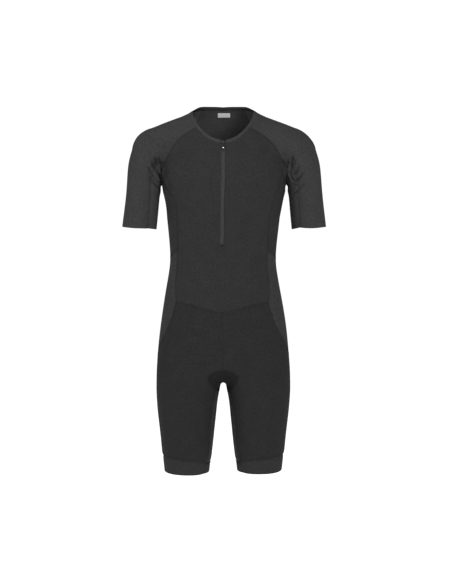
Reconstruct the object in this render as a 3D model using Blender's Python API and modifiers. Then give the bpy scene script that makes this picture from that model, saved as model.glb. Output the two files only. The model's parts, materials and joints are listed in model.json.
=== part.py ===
"""Triathlon suit: a hollow worn one-piece, cut and sewn from its real panels.

Every panel is a cloth wall between seams.  The seams are short tables of marks (across, deep,
height, in millimetres) that are drawn onto the worn form: a trunk, two legs and two arms, each
given by a table of its sections.  The origin lies at the level of the shoulders, between them:
+Z is up, the front faces -Y and +X is the wearer's left.
"""
import math
from collections import namedtuple

import bmesh
import bpy
import numpy as np
from mathutils import Matrix, Vector
from mathutils.geometry import delaunay_2d_cdt

MM = 0.001
CLOTH = 1.5                 # thickness of the knit with its seam tapes
SEAM_GAP = 0.3              # clearance between two pieces that are sewn together
TRIM_GAP = 0.8              # between the inside of a panel and the tape or label behind it
CELL = 20.0                 # length of a cloth facet
FINE_CELL = 14.0            # facet where the cloth creases or turns sharply
RIM_CLEAR = 0.45            # share of a facet that a panel's points keep from its outline

ZIP_CENTRE = 0.5            # the chain lies a little to the wearer's left
CHAIN_HALF = 4.0
CHAIN_THICK = 3.0
TAPE_REACH = 17.0           # from the middle of the chain to the tape's outer edge
TAPE_THICK = 1.0
ZIP_END = -334.5

SLIDER_WIDE, SLIDER_LONG, SLIDER_THICK = 8.6, 10.0, 2.0
SLIDER_CLEAR = 0.4          # slider plate above the cloth
BRIDGE_WIDE, BRIDGE_LONG, BRIDGE_TALL, BRIDGE_BAR = 2.2, 6.4, 3.1, 1.0
PIN_RADIUS = 0.6
TAB_WIDE, TAB_LONG, TAB_THICK = 5.4, 12.5, 1.2
TAB_WINDOW_WIDE, TAB_WINDOW_REACH = 2.9, 4.2

TAB_END = 0.9               # how far the tab's two arms pass its pin
TAB_LEAN = math.radians(4.0)
PIN_HEIGHT = 3.7            # the pin above the cloth
EYE_LONG = 4.0              # opening under the bridge
ROOT = 0.5                  # how deep the bridge is let into the slider's plate
SLIDER_TOP = -84.5
ZIP_TOP = -83.5
CHAIN_SUNK = 0.2            # chain below the face of the cloth

# The garage: a tongue of binding over the top of the chain, from the wearer's right.
GARAGE_RIGHT, GARAGE_LEFT, GARAGE_TOP, GARAGE_LOW = -6.6, 5.3, -75.6, -83.0
LABEL_LEFT, LABEL_RIGHT, LABEL_TOP, LABEL_LOW, LABEL_THICK = 20.5, -16.0, 5.0, -8.5, 0.8
LABEL_CELL = 9.0
BINDING_RISE = 0.5          # the folded binding stands this proud on both faces
BINDING_CELL = 8.0
CUFF_DRAW = 1.0             # the elastic gripper draws the leg in by this much

FRONT_GREY = (0.032, 0.032, 0.034)
SLEEVE_GREY = (0.046, 0.046, 0.049)
MESH_GREY = (0.015, 0.015, 0.016)
LEG_GREY = (0.022, 0.022, 0.024)
SEAT_GREY = (0.045, 0.045, 0.048)
GUSSET_GREY = (0.012, 0.012, 0.013)
GRIPPER_GREY = (0.035, 0.035, 0.037)
BINDING_GREY = (0.06, 0.06, 0.063)
TAPE_GREY = (0.05, 0.05, 0.052)
CHAIN_GREY = (0.07, 0.07, 0.073)
LABEL_GREY = (0.52, 0.52, 0.53)
METAL_GREY = (0.03, 0.03, 0.032)

# Sections of the trunk: half width across, front and back faces, and how square they are.
Section = namedtuple("Section", "height half_width front back squareness")
TRUNK = [
    Section(60, 58, -50, 52, 2.0),
    Section(28, 60.5, -58, 64, 2.3),
    Section(8, 65.5, -63, 73, 2.25),
    Section(-12, 87.8, -68, 80, 2.15),
    Section(-35, 102, -74, 87, 2.15),
    Section(-65, 123, -82, 96, 2.2),
    Section(-100, 146, -93, 105, 2.3),
    Section(-140, 160, -105, 111, 2.4),
    Section(-185, 160, -113, 112, 2.45),
    Section(-235, 150, -111, 107, 2.4),
    Section(-290, 143, -104, 98, 2.3),
    Section(-340, 138.5, -98, 91, 2.3),
    Section(-385, 137.8, -95, 88, 2.3),
    Section(-430, 144.2, -95, 91, 2.3),
    Section(-490, 154.8, -97, 101, 2.3),
    Section(-550, 164, -97, 112, 2.45),
    Section(-610, 170.9, -94, 117, 2.75),
    Section(-660, 174.8, -90, 114, 2.95),
    Section(-710, 176.2, -87, 105, 3.0),
    Section(-760, 174.5, -84, 96, 3.0),
]

# Sections of a leg: inner and outer sides, front and back faces.
LegSection = namedtuple("LegSection", "height inner outer front back squareness")
LEG = [
    LegSection(-600, -10, 170, -94, 117, 2.3),
    LegSection(-650, -4, 174.8, -91, 114, 2.3),
    LegSection(-690, 3, 176.3, -89, 108, 2.25),
    LegSection(-720, 9.2, 176.6, -87.5, 102, 2.2),
    LegSection(-750, 14.6, 175.2, -86.5, 96, 2.15),
    LegSection(-785, 18.5, 172.2, -84, 88, 2.1),
    LegSection(-815, 21.8, 168.8, -81, 82, 2.1),
    LegSection(-850, 25.4, 165, -77, 75, 2.1),
    LegSection(-890, 29.8, 161.3, -72, 68, 2.1),
    LegSection(-930, 34.3, 157.3, -67, 62, 2.1),
    LegSection(-960, 37.8, 154, -63, 58, 2.1),
]

# Sections along the shoulder and the arm: distance along, outward shift, and both half sizes.
LimbSection = namedtuple("LimbSection", "along shift radius depth")
SHOULDER_FROM, SHOULDER_TO = (40, 10, -43.5), (170, 3, -89)
SHOULDER = [
    LimbSection(0, 0, 57, 62),
    LimbSection(50, 0, 54, 60),
    LimbSection(100, 0, 53, 59),
    LimbSection(149, 0, 50.5, 58),
]
ARM_FROM, ARM_TO = (187, 2, -104), (219, -6, -300)
ARM = [
    LimbSection(0, 0, 50, 59),
    LimbSection(30, 4, 50, 58),
    LimbSection(60, 6, 47.5, 56),
    LimbSection(90, 6.5, 44.5, 54),
    LimbSection(130, 4.5, 43.5, 52.5),
    LimbSection(198, 1, 44, 51),
]
SHOULDER_BLEND, ARMPIT_BLEND = 23.4, 3.0     # roundness where the arm leaves the trunk
ARMPIT_RANGE = (-105.0, -165.0)
ARMS_LOW = -450.0                            # the arms don't reach below this
CREASE_TOP = -160.0                          # below it the armhole seams lie in the arm's crease
ARM_BEND = 20.0                              # roundness over the shoulder's tip
THIGH_BLEND = 16.0
HIP_RANGE = (-635.0, -708.0)                 # over which the trunk passes into the legs

# The largest folds: from one mark to another on the form, depth (a ridge if below 0) and width.
Fold = namedtuple("Fold", "start end depth width")
FOLDS = [
    Fold((160, -52, -186), (146, -58, -140), 2.6, 11),
    Fold((172, -48, -176), (186, -52, -148), 2.4, 11),
    Fold((160, 56, -186), (146, 66, -140), 2.6, 11),
    Fold((172, 50, -176), (186, 54, -148), 2.4, 11),
]

# Seams of the wearer's left half, as marks on the form: across, deep, height.
SEAMS = {
    "neck_front": [(7, -87, -82), (15, -86, -80), (32, -82, -73), (49, -75, -61), (68, -63, -41)],
    "neck_side": [(68, -63, -41), (76, -55, -28), (84, -32, -12), (86, -2, 0), (76, 30, 9),
                  (60, 50, 13)],
    "neck_back": [(60, 50, 13), (36, 66, 14), (0, 74, 13.5)],
    "raglan_front": [(68, -63, -41), (98, -58, -59), (118, -56, -76),
                     (131, -54, -93), (140, -52, -107), (149, -44, -126)],
    "raglan_yoke": [(60, 50, 13), (70, 66, -10), (80, 75, -32)],
    "raglan_back": [(80, 75, -32), (98, 76, -56), (117, 73, -80), (134, 66, -104), (149, 50, -128)],
    "yoke": [(80, 75, -32), (45, 85, -27), (0, 88, -24)],
    "mesh_top_front": [(149, -44, -126), (163, -48, -128)],
    "mesh_top_back": [(149, 50, -128), (162, 51, -130)],
    "armhole_front": [(163, -48, -128), (161, -39, -146), (160, -29, -164), (161, -22, -175),
                      (160, -10, -186), (160, 0, -188)],
    "armhole_back": [(160, 0, -188), (160, 10, -185), (161, 21, -176), (160, 29, -164),
                     (161, 40, -147), (162, 51, -130)],
    "side_front": [(149, -44, -126), (148, -46, -144), (144, -57, -161), (131, -74, -201),
                   (120, -76, -238), (116, -72, -274), (114, -67, -312), (114, -63, -350)],
    "side_back": [(149, 50, -128), (149, 50, -148), (142, 62, -172), (128, 78, -210),
                  (118, 80, -250), (112, 74, -300), (108, 66, -350), (106, 64, -384)],
    "mesh_bottom": [(114, -63, -350), (128, -40, -363), (137, -5, -374), (130, 36, -381),
                    (106, 64, -384)],
    "waist": [(106, 64, -384), (60, 84, -390), (0, 88, -394)],
    "seat_front": [(114, -63, -350), (114, -61, -381), (118, -61, -427), (118, -68, -483)],
    "hip": [(0, -97, -508), (37, -96, -499), (79, -87, -488), (118, -68, -483)],
    "seat_low": [(118, -68, -483), (125, -65, -512), (142, -54, -557), (157, -35, -592),
                 (167, -15, -618), (173, 14, -636), (168, 46, -649), (146, 84, -660),
                 (104, 108, -668), (64, 106, -674), (38, 95, -676)],
    "centre_front": [(0, -97, -508), (0, -97, -588), (0, -91, -661)],
    "gusset_front": [(0, -91, -661), (12, -91, -661), (24, -90, -663), (35, -87, -670),
                     (39, -85, -676), (37, -81, -684), (29, -68, -698), (18, -43, -717)],
    "gusset_back": [(0, 112, -655), (20, 110, -660), (38, 95, -676)],
    "gusset_tail": [(38, 95, -676), (36, 82, -692), (28, 64, -706), (18, 42, -719)],
    "gusset_side": [(18, -43, -717), (11, 0, -723), (18, 42, -719)],
    "inner_front": [(18, -43, -717), (26, -45, -756), (32, -46, -803), (36, -40, -869),
                    (44, -43, -905)],
    "inner_back": [(18, 42, -719), (26, 44, -756), (32, 42, -803), (36, 34, -869), (43, 36, -905)],
    "cuff_inner": [(44, -43, -905), (31, -4, -908), (43, 36, -905)],
    "cuff_outer": [(44, -43, -905), (60, -60, -899), (88, -71, -894), (118, -68, -891),
                   (146, -44, -890), (158, -4, -891), (145, 42, -894), (116, 62, -896),
                   (84, 64, -899), (58, 54, -902), (43, 36, -905)],
    "leg_hem": [(49, -46, -934), (66, -58, -934), (90, -66, -933.5), (118, -63, -933.5),
                (142, -42, -933.5), (155, -4, -935), (142, 36, -936), (116, 56, -936),
                (84, 58, -936.5), (56, 46, -937), (38, 18, -937.5), (34, -2, -937.5),
                (38, -24, -936), (49, -46, -934)],
    "cuff_seam": [(44, -43, -905), (49, -46, -934)],
    "under_front": [(163, -48, -128), (173, -51, -142), (181, -53, -157), (185, -52, -171),
                    (188, -50, -201), (190, -49, -240), (193, -47, -293.5)],
    "under_back": [(162, 51, -130), (173, 52, -144), (181, 52, -159), (185, 50, -174),
                   (188, 47, -204), (190, 43, -242), (193, 38, -294)],
    "sleeve_hem_outer": [(193, -47, -293.5), (218, -57, -295), (248, -42, -293.5),
                         (262, -6, -292.5), (248, 30, -293.5), (218, 45, -295), (193, 38, -294)],
    "sleeve_hem_inner": [(193, -47, -293.5), (175, -6, -299), (193, 38, -294)],
    "zip_side": [(7, -87, -82), (7, -113, -200), (7, -98, -335.5)],
    "zip_foot": [(7, -98, -335.5), (0, -97, -337.5)],
    "centre_waist": [(0, -97, -337.5), (0, -95, -430), (0, -97, -508)],
    "neck_edge": [(7, -82, -75), (18, -81, -72), (31, -77, -66.5), (43, -71, -58), (54, -64, -47),
                  (64, -54, -33), (72, -42, -18), (79, -18, 1), (80, 2, 8.5), (72, 18, 15),
                  (60, 36, 19.5), (40, 54, 20.5), (0, 66, 20)],
    "neck_end": [(7, -82, -75), (7, -87, -82)],
    "neck_lip": [(0, 66, 20), (0, 74, 13.5)],
    "centre_yoke": [(0, 74, 13.5), (0, 88, -24)],
    "centre_back": [(0, 88, -24), (0, 112, -185), (0, 98, -290), (0, 88, -394)],
    "centre_seat": [(0, 88, -394), (0, 102, -490), (0, 118, -600), (0, 112, -655)],
    "centre_gusset": [(0, -91, -661), (0, -70, -690), (0, -4, -708), (0, 80, -694),
                      (0, 112, -655)],
}

# Guides for the panels that wrap round a limb, from their top edge to their bottom edge.
SHOULDER_CREST = [(86, -2, 0), (130, 6, -24), (180, 4, -42), (216, 4, -58), (236, 2, -100),
                  (248, 0, -150), (256, -3, -200), (262, -6, -292.5)]
UNDER_ARM = [(160, 0, -188), (166, 0, -215), (172, -4, -255), (175, -6, -299)]
SIDE_LINE = [(160, 0, -188), (150, 0, -235), (142, -2, -290), (137, -5, -374)]
THIGH_FRONT = [(60, -93, -493), (75, -95, -600), (85, -92, -700), (88, -84, -800),
               (88, -71, -894)]
THIGH_OUTER = [(167, -15, -618), (175, 0, -700), (171, 0, -785), (158, -4, -891)]
THIGH_BACK = [(104, 108, -668), (96, 103, -720), (90, 84, -800), (84, 64, -899)]
INNER_LINE = [(11, 0, -723), (18, 0, -785), (26, -2, -850), (31, -4, -908)]
CUFF_GUIDES = [
    [(90, -71, -894), (90, -66, -933.5)],
    [(160, -4, -891), (155, -4, -935)],
    [(84, 64, -899), (84, 58, -936.5)],
    [(31, -4, -908), (34, -2, -937.5)],
]


def spline(knots, values, at):
    """Natural cubic spline through values at the knots, straight beyond its ends."""
    knots = np.asarray(knots, float)
    order = np.argsort(knots)
    x = knots[order]
    y = np.asarray(values, float)[order]
    step = np.diff(x)
    count = len(x)
    matrix = np.zeros((count, count))
    right = np.zeros(count)
    matrix[0, 0] = matrix[-1, -1] = 1.0
    for i in range(1, count - 1):
        matrix[i, i - 1:i + 2] = step[i - 1], 2.0 * (step[i - 1] + step[i]), step[i]
        right[i] = 6.0 * ((y[i + 1] - y[i]) / step[i] - (y[i] - y[i - 1]) / step[i - 1])
    bend = np.linalg.solve(matrix, right)
    at = np.asarray(at, float)
    inside = np.clip(at, x[0], x[-1])
    i = np.clip(np.searchsorted(x, inside) - 1, 0, count - 2)
    t = inside - x[i]
    h = step[i]
    slope = (y[i + 1] - y[i]) / h - h * (2.0 * bend[i] + bend[i + 1]) / 6.0
    twist = (bend[i + 1] - bend[i]) / h
    value = y[i] + slope * t + bend[i] / 2.0 * t**2 + twist / 6.0 * t**3
    return value + (slope + bend[i] * t + twist / 2.0 * t**2) * (at - inside)


class Table:
    """A table of sections, read at any place along its key column."""

    def __init__(self, rows, key):
        keys = [getattr(row, key) for row in rows]
        self.grid = np.linspace(min(keys), max(keys), 400)
        self.columns = {}
        for name in rows[0]._fields:
            self.columns[name] = spline(keys, [getattr(row, name) for row in rows], self.grid)

    def __call__(self, name, at):
        return np.interp(at, self.grid, self.columns[name])


trunk_at = Table(TRUNK, "height")
leg_at = Table(LEG, "height")
shoulder_at = Table(SHOULDER, "along")
arm_at = Table(ARM, "along")


def smooth_step(t):
    t = np.clip(t, 0.0, 1.0)
    return t * t * (3.0 - 2.0 * t)


def smooth_min(a, b, reach):
    """The smaller of two fields, rounded over where they meet."""
    near = np.clip(1.0 - np.abs(a - b) / reach, 0.0, None)
    return np.minimum(a, b) - near * near * reach / 4.0


def outside(across, deep, half_across, half_deep, squareness):
    """Distance outside a superellipse, measured from its centre; below 0 inside it."""
    distance = np.hypot(across, deep) + 1e-9
    ratio = (np.abs(across) / half_across) ** squareness + (np.abs(deep) / half_deep) ** squareness
    return distance * (1.0 - (ratio + 1e-12) ** (-1.0 / squareness))


def trunk(points):
    x, y, z = points.T
    front = trunk_at("front", z)
    back = trunk_at("back", z)
    middle = (front + back) / 2.0
    return outside(x, y - middle, trunk_at("half_width", z), (back - front) / 2.0,
                   trunk_at("squareness", z))


def leg(points, side):
    x, y, z = points.T
    front = leg_at("front", z)
    back = leg_at("back", z)
    inner = leg_at("inner", z)
    outer = leg_at("outer", z)
    return outside(side * x - (inner + outer) / 2.0, y - (front + back) / 2.0,
                   (outer - inner) / 2.0, (back - front) / 2.0, leg_at("squareness", z))


def limb(points, start, end, table, side):
    """Distance outside a round-ended limb whose section varies along its axis."""
    start = np.asarray(start, float)
    axis = np.asarray(end, float) - start
    length = np.linalg.norm(axis)
    axis /= length
    outward = np.cross(axis, (0.0, 1.0, 0.0))
    outward /= np.linalg.norm(outward)
    place = points * (side, 1.0, 1.0) - start
    along = place @ axis
    t = np.clip(along, 0.0, length)
    over = along - t
    across = place @ outward - table("shift", t)
    deep = place @ np.cross(outward, axis)
    radius = table("radius", t)
    distance = np.sqrt(across**2 + deep**2 + over**2) + 1e-9
    ratio = np.sqrt((across**2 + over**2) / radius**2 + (deep / table("depth", t)) ** 2) + 1e-9
    return distance * (1.0 - 1.0 / ratio)


def arm(points, side):
    shoulder = limb(points, SHOULDER_FROM, SHOULDER_TO, shoulder_at, side)
    sleeve = limb(points, ARM_FROM, ARM_TO, arm_at, side)
    return smooth_min(shoulder, sleeve, ARM_BEND)


def body(points):
    """The trunk, which passes into the two legs at the hips."""
    legs = smooth_min(leg(points, 1.0), leg(points, -1.0), THIGH_BLEND)
    share = smooth_step((HIP_RANGE[0] - points[:, 2]) / (HIP_RANGE[0] - HIP_RANGE[1]))
    return (1.0 - share) * trunk(points) + share * legs


def arms(points):
    return np.minimum(arm(points, 1.0), arm(points, -1.0))


def form(points):
    """The worn form: 0 on the outer face of the cloth, above 0 outside it."""
    height = points[:, 2]
    low = smooth_step((ARMPIT_RANGE[0] - height) / (ARMPIT_RANGE[0] - ARMPIT_RANGE[1]))
    blend = SHOULDER_BLEND + (ARMPIT_BLEND - SHOULDER_BLEND) * low
    whole = smooth_min(body(points), arms(points), blend)
    return np.where(height > ARMS_LOW, whole, body(points))


def gradient(points, field=form):
    half = 0.5
    steps = np.eye(3) * half
    return np.stack([field(points + step) - field(points - step) for step in steps], 1) / (2 * half)


def normals(points):
    slope = gradient(points)
    return slope / np.linalg.norm(slope, axis=1)[:, None]


def settle(points, rounds=5):
    """Move points onto the form along its own slope."""
    points = np.array(points, float)
    for _ in range(rounds):
        slope = gradient(points)
        steep = np.maximum((slope**2).sum(1), 0.05)
        points -= (form(points) / steep)[:, None] * slope
    return points


def into_crease(points):
    """Move points along the form into the crease where the arm leaves the trunk."""
    def between(places):
        return body(places) - arms(places)

    points = points.copy()
    for _ in range(12):
        off = np.stack([form(points), between(points)], 1)
        slopes = np.stack([gradient(points), gradient(points, between)], 1)
        points -= np.einsum("nij,nj->ni", np.linalg.pinv(slopes), off)
    return points


def fold_depth(points):
    """How far the largest folds draw the cloth in; each side has the same ones."""
    depth = np.zeros(len(points))
    place = np.column_stack([np.abs(points[:, 0]), points[:, 1:]])
    for fold in FOLDS:
        start = np.asarray(fold.start, float)
        run = np.asarray(fold.end, float) - start
        t = np.clip(((place - start) @ run) / (run @ run), 0.0, 1.0)
        away = np.linalg.norm(place - start - t[:, None] * run, axis=1)
        fade = np.sin(np.pi * np.clip(0.15 + 0.8 * t, 0.0, 1.0))
        depth += fold.depth * fade * np.exp(-((away / fold.width) ** 2))
    return depth


def lengths(points):
    """Distance along a line of points, from 0 at its first."""
    return np.append(0.0, np.cumsum(np.linalg.norm(np.diff(points, axis=0), axis=1)))


def along(points, shares):
    """Points at the given shares of a line's length."""
    run = lengths(points)
    where = np.asarray(shares, float) * run[-1]
    return np.stack([np.interp(where, run, column) for column in points.T], 1)


def drawn(marks, shares):
    """A smooth line through marks, laid on the form and read at shares of its length."""
    marks = np.asarray(marks, float)
    run = lengths(marks)
    fine = np.linspace(0.0, run[-1], 120)
    line = np.stack([spline(run, column, fine) for column in marks.T], 1)
    on_plane = np.all(marks[:, 0] == 0.0)
    line = settle(line)
    if on_plane:
        line[:, 0] = 0.0
    points = settle(along(line, shares), 2)
    if on_plane:
        points[:, 0] = 0.0
    return points


def make_seams():
    """Every seam as points a facet apart, whose ends are shared with the seams they meet."""
    in_crease = {mark for mark in SEAMS["armhole_front"] if mark[2] < CREASE_TOP}
    ends = {}
    seams = {}
    for name, marks in SEAMS.items():
        cell = FINE_CELL if name.startswith(("armhole", "neck", "gusset", "raglan")) else CELL
        count = max(1, round(lengths(np.asarray(marks, float))[-1] / cell))
        points = drawn(marks, np.linspace(0.0, 1.0, count + 1))
        for mark, index in ((marks[0], 0), (marks[-1], -1)):
            if mark not in ends:
                corner = settle([mark])
                ends[mark] = into_crease(corner)[0] if mark in in_crease else corner[0]
                ends[mark][0] = 0.0 if mark[0] == 0 else ends[mark][0]
            points[index] = ends[mark]
        if name.startswith("armhole"):
            low = points[:, 2] < CREASE_TOP
            points[low] = into_crease(points[low])
        seams[name] = points
    return seams


def join(seams, names):
    """One edge of a panel from several seams; a name with a minus runs backwards."""
    line = None
    for name in names.split():
        points = seams[name.lstrip("-")]
        points = points[::-1] if name.startswith("-") else points
        line = points if line is None else np.vstack([line, points[1:]])
    return line


def net(top, right, bottom, left, guides, cell):
    """An even net of points between a panel's four edges, relaxed on the form."""
    rows = max(2, round((lengths(left)[-1] + lengths(right)[-1]) / 2.0 / cell))
    columns = max(2, round((lengths(top)[-1] + lengths(bottom)[-1]) / 2.0 / cell))
    down = np.linspace(0.0, 1.0, rows + 1)
    over = np.linspace(0.0, 1.0, columns + 1)
    stations = [along(left, down)] + [drawn(guide, down) for guide in guides] + [along(right, down)]
    grid = np.empty((rows + 1, columns + 1, 3))
    for row in range(rows + 1):
        grid[row] = drawn([station[row] for station in stations], over)
    grid[0] = along(top, over)
    grid[-1] = along(bottom, over)
    grid[:, 0] = along(left, down)
    grid[:, -1] = along(right, down)
    for _ in range(40):
        middle = grid[:-2, 1:-1] + grid[2:, 1:-1] + grid[1:-1, :-2] + grid[1:-1, 2:]
        grid[1:-1, 1:-1] = settle(middle.reshape(-1, 3) / 4.0, 2).reshape(middle.shape)
    return grid


def inset(loop, in_plane, distance):
    """Draw a loop of points in by a distance, in the cloth's own plane.

    The loop runs counter-clockwise as seen from outside.  Its edges in the suit's middle plane
    stay there.
    """
    up = normals(loop)
    ahead = np.roll(loop, -1, axis=0) - loop
    moved = loop.copy()
    for i in range(len(loop)):
        pushes = []
        for edge in (i - 1, i):
            if not in_plane[edge]:
                push = np.cross(up[i], ahead[edge])
                pushes.append(push / np.linalg.norm(push))
        if len(pushes) == 2:
            moved[i] += distance * (pushes[0] + pushes[1]) / (1.0 + pushes[0] @ pushes[1])
        elif pushes:
            push = pushes[0] * (0.0, 1.0, 1.0)
            moved[i] += distance * push / np.linalg.norm(push)
    return moved


def sheet(top, right, bottom, left, guides=(), cell=CELL, half=False):
    """A panel's points, triangles and outline, from its four edges.

    The outline keeps the seams' own points, so that two panels share each seam's line.  The
    left edge of half a panel keeps its distances from the suit's middle plane in the flat chart.
    """
    wide = (lengths(top)[-1] + lengths(bottom)[-1]) / 2.0
    tall = (lengths(left)[-1] + lengths(right)[-1]) / 2.0
    grid = net(top, right, bottom, left, guides, cell)
    lean = left[:, 0] / wide * half

    def chart(u, v):
        bow = np.interp(1.0 - v, lengths(left) / lengths(left)[-1], lean)
        return Vector(((bow + (1.0 - bow) * u) * wide, v * tall))

    flat = []
    loop = []
    for edge, start, end in (
        (top, (0.0, 1.0), (1.0, 1.0)),
        (right, (1.0, 1.0), (1.0, 0.0)),
        (bottom[::-1], (1.0, 0.0), (0.0, 0.0)),
        (left[::-1], (0.0, 0.0), (0.0, 1.0)),
    ):
        share = lengths(edge)[:-1] / lengths(edge)[-1]
        corners = np.outer(1.0 - share, start) + np.outer(share, end)
        flat += [chart(u, v) for u, v in corners]
        loop.append(edge[:-1])
    loop = np.vstack(loop)
    rim = np.vstack([loop, (loop + np.roll(loop, -1, axis=0)) / 2.0])
    rows, columns = grid.shape[0] - 1, grid.shape[1] - 1
    inner = []
    for row in range(1, rows):
        for column in range(1, columns):
            if np.linalg.norm(rim - grid[row, column], axis=1).min() > cell * RIM_CLEAR:
                flat.append(chart(column / columns, 1.0 - row / rows))
                inner.append(grid[row, column])
    count = len(loop)
    edges = [(i, (i + 1) % count) for i in range(count)]
    found = delaunay_2d_cdt(flat, edges, [], 1, 1e-6)
    triangles = [tuple(found[3][v][0] for v in face) for face in found[2]]
    points = np.vstack([loop, np.array(inner).reshape(-1, 3)])
    a, b, c = (points[[t[k] for t in triangles]] for k in range(3))
    facing = np.einsum("ij,ij->i", np.cross(b - a, c - a), normals((a + b + c) / 3.0))
    if facing.sum() < 0.0:
        triangles = [triangle[::-1] for triangle in triangles]
        loop_order = np.arange(count)
    else:
        loop_order = np.arange(count)[::-1]
    return points, triangles, loop_order


def wall(points, triangles, order, outer=0.0, inner=CLOTH, gap=SEAM_GAP / 2.0, half=False):
    """A closed wall: outer and inner skins parallel to the form, joined round the outline.

    Half a panel stays open along the suit's middle plane, for the mirror to close.
    """
    loop = points[order]
    ahead = np.roll(loop, -1, axis=0)
    in_plane = half & (np.abs(loop[:, 0]) < 1e-6) & (np.abs(ahead[:, 0]) < 1e-6)
    up = normals(points)
    drawn_in = points.copy()
    drawn_in[order] = inset(loop, in_plane, gap)
    depth = fold_depth(points)[:, None]
    skin = drawn_in + up * (outer - depth)
    lining = drawn_in - up * (inner + depth)
    count = len(points)
    faces = list(triangles) + [tuple(v + count for v in face[::-1]) for face in triangles]
    for i in range(len(order)):
        if in_plane[i]:
            continue
        a, b = int(order[i]), int(order[(i + 1) % len(order)])
        # Both pieces at a seam split its facets along the same diagonal.
        if tuple(loop[i]) < tuple(ahead[i]):
            faces += [(b, a, b + count), (a, a + count, b + count)]
        else:
            faces += [(b, a, a + count), (b, a + count, b + count)]
    return np.vstack([skin, lining]), faces


def on_face(across, height, face):
    """The point of the form straight in front (-1) or behind (1) a place on the trunk."""
    point = np.array([[across, 95.0 * face, height]])
    for _ in range(12):
        slope = gradient(point)[0, 1]
        point[0, 1] -= form(point)[0] / slope
    return point[0]


def strip(left, right, high, low, face, outer, inner, cell=CELL):
    """A flat trim laid parallel to the front or back of the form."""
    def line(start, end):
        count = max(1, round(math.dist(start, end) / cell))
        shares = np.linspace(0.0, 1.0, count + 1)
        places = np.outer(1.0 - shares, start) + np.outer(shares, end)
        return np.array([on_face(across, height, face) for across, height in places])

    edges = (line((left, high), (right, high)), line((right, high), (right, low)),
             line((left, low), (right, low)), line((left, high), (left, low)))
    return wall(*sheet(*edges, cell=cell), outer, inner, 0.0)


def add_object(name, mesh, colour, roughness, metallic=0.0):
    """Put a mesh in the suit's collection with its own material."""
    material = bpy.data.materials.new(name)
    material.use_nodes = True
    shader = material.node_tree.nodes["Principled BSDF"]
    shader.inputs["Base Color"].default_value = (*colour, 1.0)
    shader.inputs["Roughness"].default_value = roughness
    shader.inputs["Metallic"].default_value = metallic
    material.diffuse_color = (*colour, 1.0)
    mesh.materials.append(material)
    item = bpy.data.objects.new(name, mesh)
    suit.objects.link(item)
    return item


def add_cloth(name, solid, colour, roughness=0.85, mirrored=False, side=1):
    """Add a piece of cloth from its points in millimetres and its faces."""
    points, faces = solid
    if side < 0:
        points = points * (-1.0, 1.0, 1.0)
        faces = [face[::-1] for face in faces]
    mesh = bpy.data.meshes.new(name)
    mesh.from_pydata((points * MM).tolist(), [], faces)
    mesh.update()
    mesh.shade_smooth()
    mesh.set_sharp_from_angle(angle=math.radians(50.0))
    item = add_object(name, mesh, colour, roughness)
    if mirrored:
        mirror = item.modifiers.new("Mirror", "MIRROR")
        mirror.merge_threshold = 0.00002
    return item


def block(name, size, centre, frame):
    """A box of the zip's hardware, placed in the slider's frame."""
    mesh = bpy.data.meshes.new(name)
    shape = bmesh.new()
    bmesh.ops.create_cube(shape, size=1.0)
    bmesh.ops.scale(shape, vec=Vector(size) * MM, verts=shape.verts)
    bmesh.ops.translate(shape, vec=Vector(centre) * MM, verts=shape.verts)
    shape.to_mesh(mesh)
    shape.free()
    item = bpy.data.objects.new(name, mesh)
    item.matrix_world = frame
    return item


def pin(name, radius, length, frame):
    """A pin across the zip, on the slider frame's origin."""
    mesh = bpy.data.meshes.new(name)
    shape = bmesh.new()
    bmesh.ops.create_cone(shape, cap_ends=True, segments=16, radius1=radius * MM,
                          radius2=radius * MM, depth=length * MM,
                          matrix=Matrix.Rotation(math.pi / 2.0, 4, "Y"))
    shape.to_mesh(mesh)
    shape.free()
    item = bpy.data.objects.new(name, mesh)
    item.matrix_world = frame
    return item


def combine(item, tool, operation):
    """Join a tool to an item, or cut it out, and keep the tool with the cutters."""
    cutters.objects.link(tool)
    tool.hide_render = True
    tool.display_type = "WIRE"
    modifier = item.modifiers.new(tool.name, "BOOLEAN")
    modifier.operation = operation
    modifier.object = tool


def slider_frame(lean=0.0):
    """Axes at the pull tab's pin: X across, Y down along the zip, Z out of the cloth."""
    top = on_face(ZIP_CENTRE, SLIDER_TOP, -1.0)
    low = on_face(ZIP_CENTRE, SLIDER_TOP - 20.0, -1.0)
    down = Vector(low - top).normalized()
    across = Vector((1.0, 0.0, 0.0))
    out = down.cross(across).normalized()
    down = out.cross(across) * -1.0
    place = Vector(top) + down * SLIDER_LONG / 2.0 + out * PIN_HEIGHT
    turn = Matrix((across, down, -out)).transposed().to_4x4()
    frame = Matrix.Translation(place * MM) @ turn
    return frame @ Matrix.Rotation(lean, 4, "X")


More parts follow.
